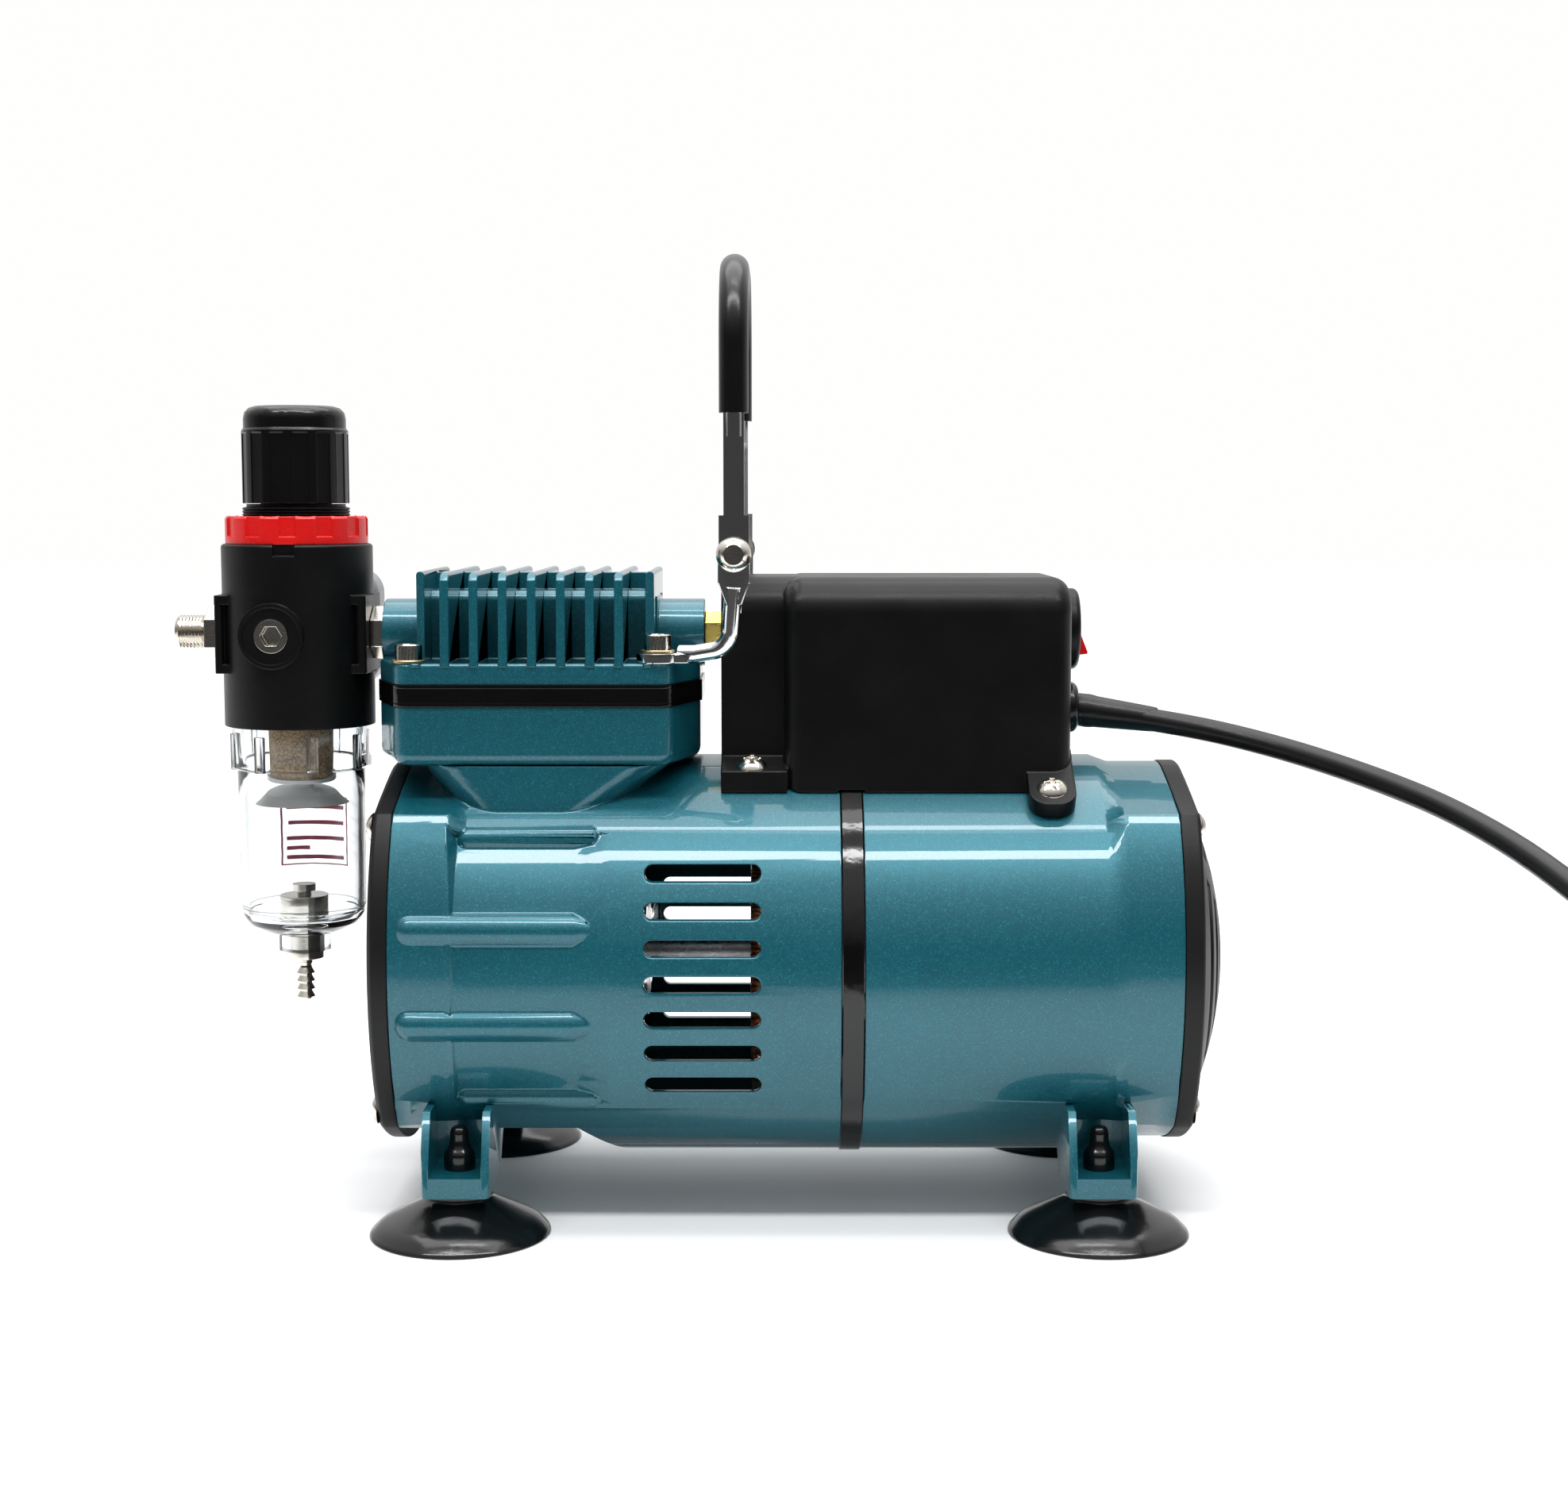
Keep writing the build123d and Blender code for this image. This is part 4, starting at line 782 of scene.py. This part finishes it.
# ---- Regulator ----------------------------------------------------------------------------------------
@dataclass
class Regulator:
    """The turned pieces of the filter regulator: outlet, bonnet, bowl and dial marks.

    Sizes are in millimetres and turns in degrees. A print bar is (low, high, start turn, end turn), and a
    tick is (inner radius, half width).
    """

    axis_x: float = -109.0
    port_z: float = 153.0
    tip_x: float = -141.8
    thread_r: float = 4.86
    pitch: float = 0.907
    thread_depth: float = 0.55
    thread_from: float = 0.9
    thread_steps: int = 6
    outlet_bore: float = 2.4
    outlet_tail: tuple[float, float] = (4.8, 19.6)
    outlet_crease: float = 24.0
    hex_across: float = 12.9
    shoulder: float = 8.3
    hex_end: float = 12.5
    rings: int = 3
    ring_from: float = 184.55
    ring_pitch: float = 0.8
    bonnet_top: Outline = (
        (13.2, 187.0), (13.2, 187.75), (9.5, 187.78), (9.5, 199.0), (3.05, 199.0), (3.05, 186.0),
        (10.5, 186.0), (10.5, 177.1), (14.4, 177.1),
    )
    bowl_bottom: Outline = ((7.6, 70.6), (9.5, 70.9), (11.9, 71.9), (15.0, 73.6))
    bowl_side: Outline = ((16.4, 75.9), (16.8, 78.4), (16.95, 82.0), (17.2, 116.0))
    bowl_rim: Outline = ((17.6, 116.5), (18.3, 116.8), (18.35, 127.9), (16.0, 127.9), (15.9, 117.0))
    bowl_inside: Outline = (
        (15.4, 116.0), (15.1, 80.6), (14.7, 77.4), (13.6, 75.5), (10.8, 74.2), (7.4, 73.3), (4.2, 73.1),
    )
    lugs: int = 8
    lug_turn: float = 20.0
    lug_low: Point = (17.5, -1.5, 116.1)
    lug_high: Point = (19.0, 1.5, 125.9)
    print_bars: tuple[tuple[float, float, float, float], ...] = (
        (105.8, 106.15, -36, 36), (86.8, 87.15, -36, 36), (102.6, 103.7, -31, 31), (98.2, 99.3, -31, 29),
        (93.8, 94.9, -31, 31), (91.0, 92.1, 8, 31), (88.4, 89.5, -31, 31),
        (86.8, 106.15, -37, -35), (86.8, 106.15, 35, 37),
    )
    print_inner: float = 17.22
    print_middle: float = 17.25
    print_outer: float = 17.27
    print_turn: float = -3.0
    print_step: float = 4.0
    dial_y: float = 29.16
    ticks: int = 41
    tick_from: float = -135.0
    tick_turn: float = 6.75
    tick_outer: float = 12.3
    tick_depth: float = 0.03
    long_tick: tuple[float, float] = (9.2, 0.35)
    short_tick: tuple[float, float] = (10.6, 0.15)

    def outlet(self) -> None:
        """The plated outlet: a threaded end, a hexagon and a tail."""
        count = int((self.shoulder - 1.6) / (self.pitch / self.thread_steps))
        levels = [self.thread_from + k * self.pitch / self.thread_steps for k in range(count)]
        outline = [(self.outlet_bore, 0.4), (self.outlet_bore + 0.4, 0.0), (self.thread_r - 0.75, 0.0)]
        outline += [(self.thread_r - 0.3, z) for z in levels]
        outline += [(self.thread_r - 0.6, self.shoulder - 0.5), (self.thread_r - 0.6, self.shoulder + 0.2)]
        tail_r, tail_end = self.outlet_tail
        outline += [(self.thread_r - 0.1, self.shoulder + 0.3), (tail_r, self.hex_end), (tail_r, tail_end)]
        outline += [(self.outlet_bore, tail_end), (self.outlet_bore, 0.4)]
        bm = lathe(outline, 60)
        for vertex in bm.verts:
            x, y, z = vertex.co
            reach = math.hypot(x, y) / MM
            if reach > 4.3 and levels[0] - 0.01 <= z / MM <= levels[-1] + 0.01:
                phase = (z / MM / self.pitch - math.atan2(y, x) / math.tau) % 1.0
                target = self.thread_r - self.thread_depth * abs(2.0 * phase - 1.0)
                vertex.co = (x * target / reach, y * target / reach, z)
        nut = hexagon(self.hex_across, self.shoulder, self.hex_end, 0.45)
        whole = moved(joined([bm, nut]), (self.tip_x * MM, 0.0, self.port_z * MM), "X", 30.0)
        publish(
            "outlet_nipple", whole, Finish.NICKEL, body_of("outlet_fitting"), ["outlet_fitting"],
            math.radians(self.outlet_crease),
        )

    def bonnet(self) -> None:
        """The bonnet with its thread rings above the lock ring and a groove below the knob."""
        outline = [self.bonnet_top[-1], (14.4, 184.4)]
        for k in range(self.rings):
            z = self.ring_from + self.ring_pitch * k
            outline += [(14.0, z), (14.35, z + 0.25), (14.35, z + 0.45), (14.0, z + 0.7)]
        bm = moved(lathe([*outline, *self.bonnet_top], 72), (self.axis_x * MM, 0.0, 0.0))
        publish("bonnet_turned", bm, Finish.BODY_BLACK, body_of("regulator_bonnet"), ["regulator_bonnet"])

    def bowl(self) -> None:
        """The clear bowl with its lugs."""
        neck_r, neck_low = 7.1, 65.8
        outline = [(neck_r, neck_low), (neck_r, 70.2), *curve_through(self.bowl_bottom, 4)]
        outline += [*curve_through(self.bowl_side, 4), *self.bowl_rim, *curve_through(self.bowl_inside, 4)]
        outline += [(self.bowl_inside[-1][0], neck_low), (neck_r, neck_low)]
        parts = [lathe(outline, 96)]
        low, high = (tuple(v * MM for v in corner) for corner in (self.lug_low, self.lug_high))
        for k in range(self.lugs):
            turn = 360.0 / self.lugs * k + self.lug_turn
            parts.append(moved(block(low, high, 0.35 * MM), ORIGIN, "Z", turn))
        whole = moved(joined(parts), (self.axis_x * MM, 0.0, 0.0))
        publish("bowl_clear", whole, Finish.CLEAR, body_of("bowl"), ["bowl"])

    def print_on_bowl(self) -> None:
        """A printed frame with plain bars at the back of the bowl."""
        parts = []
        inner, outer = self.print_inner * MM, self.print_outer * MM
        for low, high, start, end in self.print_bars:
            count = max(1, round((end - start) / self.print_step))
            step = (end - start) / count
            half = self.print_middle * math.tan(math.radians(step / 2))
            for k in range(count):
                piece = block((-half * MM, inner, low * MM), (half * MM, outer, high * MM))
                parts.append(moved(piece, ORIGIN, "Z", start + step * (k + 0.5) + self.print_turn))
        whole = moved(joined(parts), (self.axis_x * MM, 0.0, 0.0))
        publish("bowl_print", whole, Finish.PRINT, body_of("bowl"))

    def dial(self) -> None:
        """Marks round the gauge's dial."""
        parts = []
        outer, depth = self.tick_outer * MM, self.tick_depth * MM
        for k in range(self.ticks):
            inner, half = self.short_tick if k % 10 else self.long_tick
            mark = block((-half * MM, inner * MM, -depth), (half * MM, outer, depth))
            parts.append(moved(mark, ORIGIN, "Z", self.tick_from + self.tick_turn * k))
        whole = moved(joined(parts), (self.axis_x * MM, self.dial_y * MM, self.port_z * MM), "Y")
        publish("dial_marks", whole, Finish.INK, body_of("gauge_dial"))

    def build(self) -> None:
        """Makes every turned piece."""
        self.outlet()
        self.bonnet()
        self.bowl()
        self.print_on_bowl()
        self.dial()


# ---- Mains lead -------------------------------------------------------------------------------------
@dataclass
class MainsLead:
    """Round three-core lead that leaves the switch box, ends in a plug and has its spare length coiled.

    The lead's sizes are in metres, and its relief's sizes are in millimetres.
    """

    diameter: float = 0.0062
    length: float = 1.4
    route: tuple[Point, ...] = (
        (0.1060, 0.0000, 0.1316), (0.1288, -0.0035, 0.1288), (0.1528, -0.0170, 0.1240),
        (0.1728, -0.0410, 0.1185), (0.1878, -0.0730, 0.1130), (0.2018, -0.1060, 0.1030),
        (0.2188, -0.1360, 0.0840), (0.2388, -0.1580, 0.0580), (0.2638, -0.1695, 0.0310),
        (0.2908, -0.1670, 0.0115), (0.3118, -0.1490, 0.0031), (0.3213, -0.1220, 0.0031),
        (0.3208, -0.0970, 0.0031),
    )
    tail: tuple[Point, ...] = (
        (0.3218, -0.0800, 0.0090), (0.3213, -0.0680, 0.0060), (0.3208, -0.0580, 0.0034),
        (0.3208, -0.0470, 0.0033),
    )
    middle: tuple[float, float] = (0.2838, -0.0900)
    outer: float = 0.0380
    inner: float = 0.0256
    turns: float = 5.0
    start_angle: float = -10.7
    points_per_turn: int = 16
    level_turns: float = 0.5
    climb_from: float = 1.85
    climb_turns: float = 0.6
    relief_foot: Outline = ((0.0, -7.0), (4.3, -7.0), (4.6, 0.0), (4.45, 1.2))
    relief_end: Outline = ((3.35, 18.2), (3.15, 18.6), (0.0, 18.6))
    relief_r: float = 4.4
    relief_taper: float = 0.055

    def coil_points(self) -> list[Point]:
        """Turns that wind in along the floor and out again on top."""
        out: list[Point] = []
        low, high = self.diameter / 2, self.diameter * 1.5
        swell = 1.0 / (0.5 + 0.5 * math.cos(math.pi / self.points_per_turn))
        count = int(self.turns * self.points_per_turn)
        for k in range(1, count + 1):
            turn = k / self.points_per_turn
            away = max(abs(turn - self.turns / 2) - self.level_turns, 0.0)
            inward = away / (self.turns / 2 - self.level_turns)
            radius = (self.inner + (self.outer - self.inner) * inward) * swell
            rise = min(max((turn - self.climb_from) / self.climb_turns, 0.0), 1.0)
            angle = math.radians(self.start_angle) + math.tau * turn
            out.append((
                self.middle[0] + radius * math.cos(angle), self.middle[1] + radius * math.sin(angle),
                low + (high - low) * rise * rise * (3 - 2 * rise),
            ))
        return out

    def build_lead(self) -> bpy.types.Object:
        """Lays the lead on one smooth line."""
        curve = bpy.data.curves.new("mains_lead", "CURVE")
        curve.dimensions = "3D"
        curve.bevel_depth = self.diameter / 2
        curve.bevel_resolution = 4
        curve.use_fill_caps = True
        spline = curve.splines.new("NURBS")
        points = [*self.route, *self.coil_points(), *self.tail]
        spline.points.add(len(points) - 1)
        for point, place in zip(spline.points, points):
            point.co = (*place, 1.0)
        spline.order_u = 3
        spline.use_endpoint_u = True
        spline.resolution_u = 6
        spline.use_smooth = True
        curve.materials.append(finish_of(Finish.JACKET))
        lead = bpy.data.objects.new("mains_lead", curve)
        bpy.context.scene.collection.objects.link(lead)
        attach(lead, "base")
        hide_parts("power_lead", "lead_coil")
        return lead

    def build_relief(self) -> bpy.types.Object:
        """The tapered sleeve that the lead leaves the box through."""
        (x0, y0, z0), (x1, y1, z1) = self.route[:2]
        line = Vector((x1 - x0, y1 - y0, z1 - z0)).normalized()
        taper = [(self.relief_r - self.relief_taper * z, z) for z in range(2, 18, 2)]
        bm = lathe([*self.relief_foot, *taper, *self.relief_end], 40)
        turn = Vector((0, 0, 1)).rotation_difference(line).to_matrix().to_4x4()
        bmesh.ops.transform(bm, matrix=Matrix.Translation((x0, y0, z0)) @ turn, verts=bm.verts)
        return publish("strain_relief", bm, Finish.JACKET)

    def build_plug(self) -> bpy.types.Object:
        """The moulded plug at the far end."""
        return softened("power_plug", 0.5, Finish.SATIN_BLACK)

    def build(self) -> None:
        """Makes the lead, its relief and its plug."""
        lead = self.build_lead()
        relief = self.build_relief()
        plug = self.build_plug()


# ---- Studio -----------------------------------------------------------------------------------------
@dataclass
class Studio:
    """Pale floor, soft lights and the camera. Places and sizes are in metres, and angles in degrees."""

    eye: Point = (0.0230, -0.6479, 0.1888)
    pitch: float = 84.139
    lens: float = 54.684
    sensor: float = 36.0
    # The floor's painted shade ends between the first two depths, and its painted glow grows between the next
    # two.
    floor_painted_shade: tuple[float, float] = (-0.44, -0.26)
    floor_glow: tuple[float, float] = (0.15, 1.6)
    sky_heights: tuple[float, float] = (0.2, 0.75)
    sky_depths: tuple[float, float] = (-0.3, 0.8)
    sky_top: float = 0.75
    sky_front: float = 0.05
    sky_back: float = 0.75
    lights: tuple[tuple[str, Point, tuple[float, float], float, Point], ...] = (
        ("strip", (0.02, -0.41, 0.92), (1.3, 0.09), 8.0, (0.02, 0.0, 0.10)),
        ("second_strip", (0.06, -0.12, 1.0), (0.5, 0.05), 1.0, (0.06, 0.0, 0.10)),
        ("top", (0.0, 0.3, 1.5), (1.8, 1.2), 18.0, (0.0, 0.0, 0.0)),
    )

    def place_camera(self) -> None:
        """Puts the camera where the view is taken from."""
        data = bpy.data.cameras.new("front_camera")
        data.lens = self.lens
        data.sensor_width = self.sensor
        data.clip_start = 0.01
        camera = bpy.data.objects.new("front_camera", data)
        camera.location = self.eye
        camera.rotation_euler = (math.radians(self.pitch), 0, 0)
        bpy.context.scene.collection.objects.link(camera)
        bpy.context.scene.camera = camera

    def lay_floor(self) -> None:
        """A pale floor that runs out of sight, and that reflects as if it ended in front of the object: for
        all but camera rays its front is painted near black as painted shade, and further back it glows as
        painted light.
        """
        bm = bmesh.new()
        bmesh.ops.create_grid(bm, x_segments=8, y_segments=8, size=6.0)
        mesh = bpy.data.meshes.new("floor")
        bm.to_mesh(mesh)
        bm.free()
        floor = bpy.data.objects.new("floor", mesh)
        bpy.context.scene.collection.objects.link(floor)
        s = Shader("pale_floor")
        pale = s.mix(s.noise(0.25, 2.0), (0.88, 0.89, 0.90), (0.91, 0.917, 0.925))
        # Painted shade: for all but camera rays, the floor in front of the object is nearly black, standing
        # in for a dark room there.
        seen = s.node("LightPath", output="Is Camera Ray")
        clear_of_painted_shade = s.axis("Y").ramp(*self.floor_painted_shade).either(seen)
        mesh.materials.append(s.finish(
            Base_Color=s.mix(clear_of_painted_shade, (0.03, 0.03, 0.03), pale), Roughness=0.5,
            Specular_IOR_Level=0.25, Emission_Strength=1.0,
            # Painted light: the floor glows more the further back it lies, so that it fades to white behind
            # the object.
            Emission_Color=s.mix(s.axis("Y").ramp(*self.floor_glow), (0.0, 0.0, 0.0), (0.26, 0.25, 0.24)),
        ))

    def light(self, name: str, place: Point, size: tuple[float, float], power: float, aim: Point) -> None:
        """Adds one soft rectangular light.

        Args:
            name: The light's name.
            place: Where it hangs.
            size: Its width and depth in metres.
            power: Its power in watts.
            aim: The point that it faces.
        """
        data = bpy.data.lights.new(name, "AREA")
        data.shape = "RECTANGLE"
        data.size, data.size_y = size
        data.energy = power
        lamp = bpy.data.objects.new(name, data)
        lamp.location = place
        lamp.rotation_euler = (Vector(aim) - Vector(place)).to_track_quat("-Z", "Y").to_euler()
        bpy.context.scene.collection.objects.link(lamp)

    def set_sky(self) -> None:
        """A white surround that is dim in front of the object and bright above and behind it."""
        world = bpy.data.worlds.new("white_surround")
        world.use_nodes = True
        tree = world.node_tree
        sky = tree.nodes["Background"]
        sky.inputs["Color"].default_value = (1.0, 0.995, 0.99, 1.0)

        def step(kind: str, settings: dict, values: Sequence[object]) -> bpy.types.Node:
            """Adds one node to the surround and feeds its inputs in order."""
            made = tree.nodes.new("ShaderNode" + kind)
            for name, value in settings.items():
                setattr(made, name, value)
            for socket, value in zip(made.inputs, values):
                if isinstance(value, bpy.types.NodeSocket):
                    tree.links.new(value, socket)
                else:
                    socket.default_value = value
            return made

        where = tree.nodes.new("ShaderNodeTexCoord").outputs["Generated"]
        split = step("SeparateXYZ", {}, [where])
        above = step("MapRange", {}, [split.outputs["Z"], *self.sky_heights, 0.0, self.sky_top])
        behind = step("MapRange", {}, [split.outputs["Y"], *self.sky_depths, self.sky_front, self.sky_back])
        total = step("Math", {"operation": "ADD"}, [above.outputs[0], behind.outputs[0]])
        seen = tree.nodes.new("ShaderNodeLightPath").outputs["Is Camera Ray"]
        strength = step("MapRange", {}, [seen, 0.0, 1.0, total.outputs[0], 1.0])
        tree.links.new(strength.outputs[0], sky.inputs["Strength"])
        bpy.context.scene.world = world
        bpy.context.scene.view_settings.view_transform = "Standard"

    def light_all(self) -> None:
        """Hangs the lights, and sets the floor and the sky."""
        for lamp in self.lights:
            self.light(*lamp)
        self.lay_floor()
        self.set_sky()


def dress_nodes() -> None:
    """Finishes of the CAD nodes that keep their own shape."""
    dress(Finish.GLOSS_BLACK, "valve_plate")
    dress(Finish.GRIP_RUBBER, "handle_grip", "diaphragm", "piston_cup")
    dress(Finish.CHROME, "handle_bail")
    dress(Finish.NICKEL, "handle_rivets", "drain_barb")
    dress(Finish.STEEL, "motor_shaft", "crank_disc", "crank_pin", "rod_bearing", "shaft_bearings")
    dress(Finish.STEEL, "adjusting_screw", "regulator_spring", "valve_reeds")
    dress(Finish.ALUMINIUM, "connecting_rod", "cylinder_liner", "rear_spider")
    dress(Finish.LAMINATION, "rotor", "stator_core")
    dress(Finish.COPPER, "stator_windings")
    dress(Finish.WHITE, "cooling_fan", "filter_baffle", "pressure_switch", "run_capacitor")
    dress(Finish.BRONZE, "filter_element")
    dress(Finish.CLEAR, "gauge_lens")
    dress(Finish.DIAL, "gauge_dial")
    dress(Finish.INK, "gauge_needle")


def main() -> None:
    """Builds the compressor and its studio."""
    logging.basicConfig(level=logging.INFO, format="%(name)s: %(message)s")
    studio = Studio()
    studio.place_camera()
    dress_nodes()
    for rounding in ROUNDED:
        rounding.apply()
    SuctionFeet().build()
    CapScrews().build()
    Regulator().build()
    MainsLead().build()
    studio.light_all()


if __name__ == "__main__":
    main()
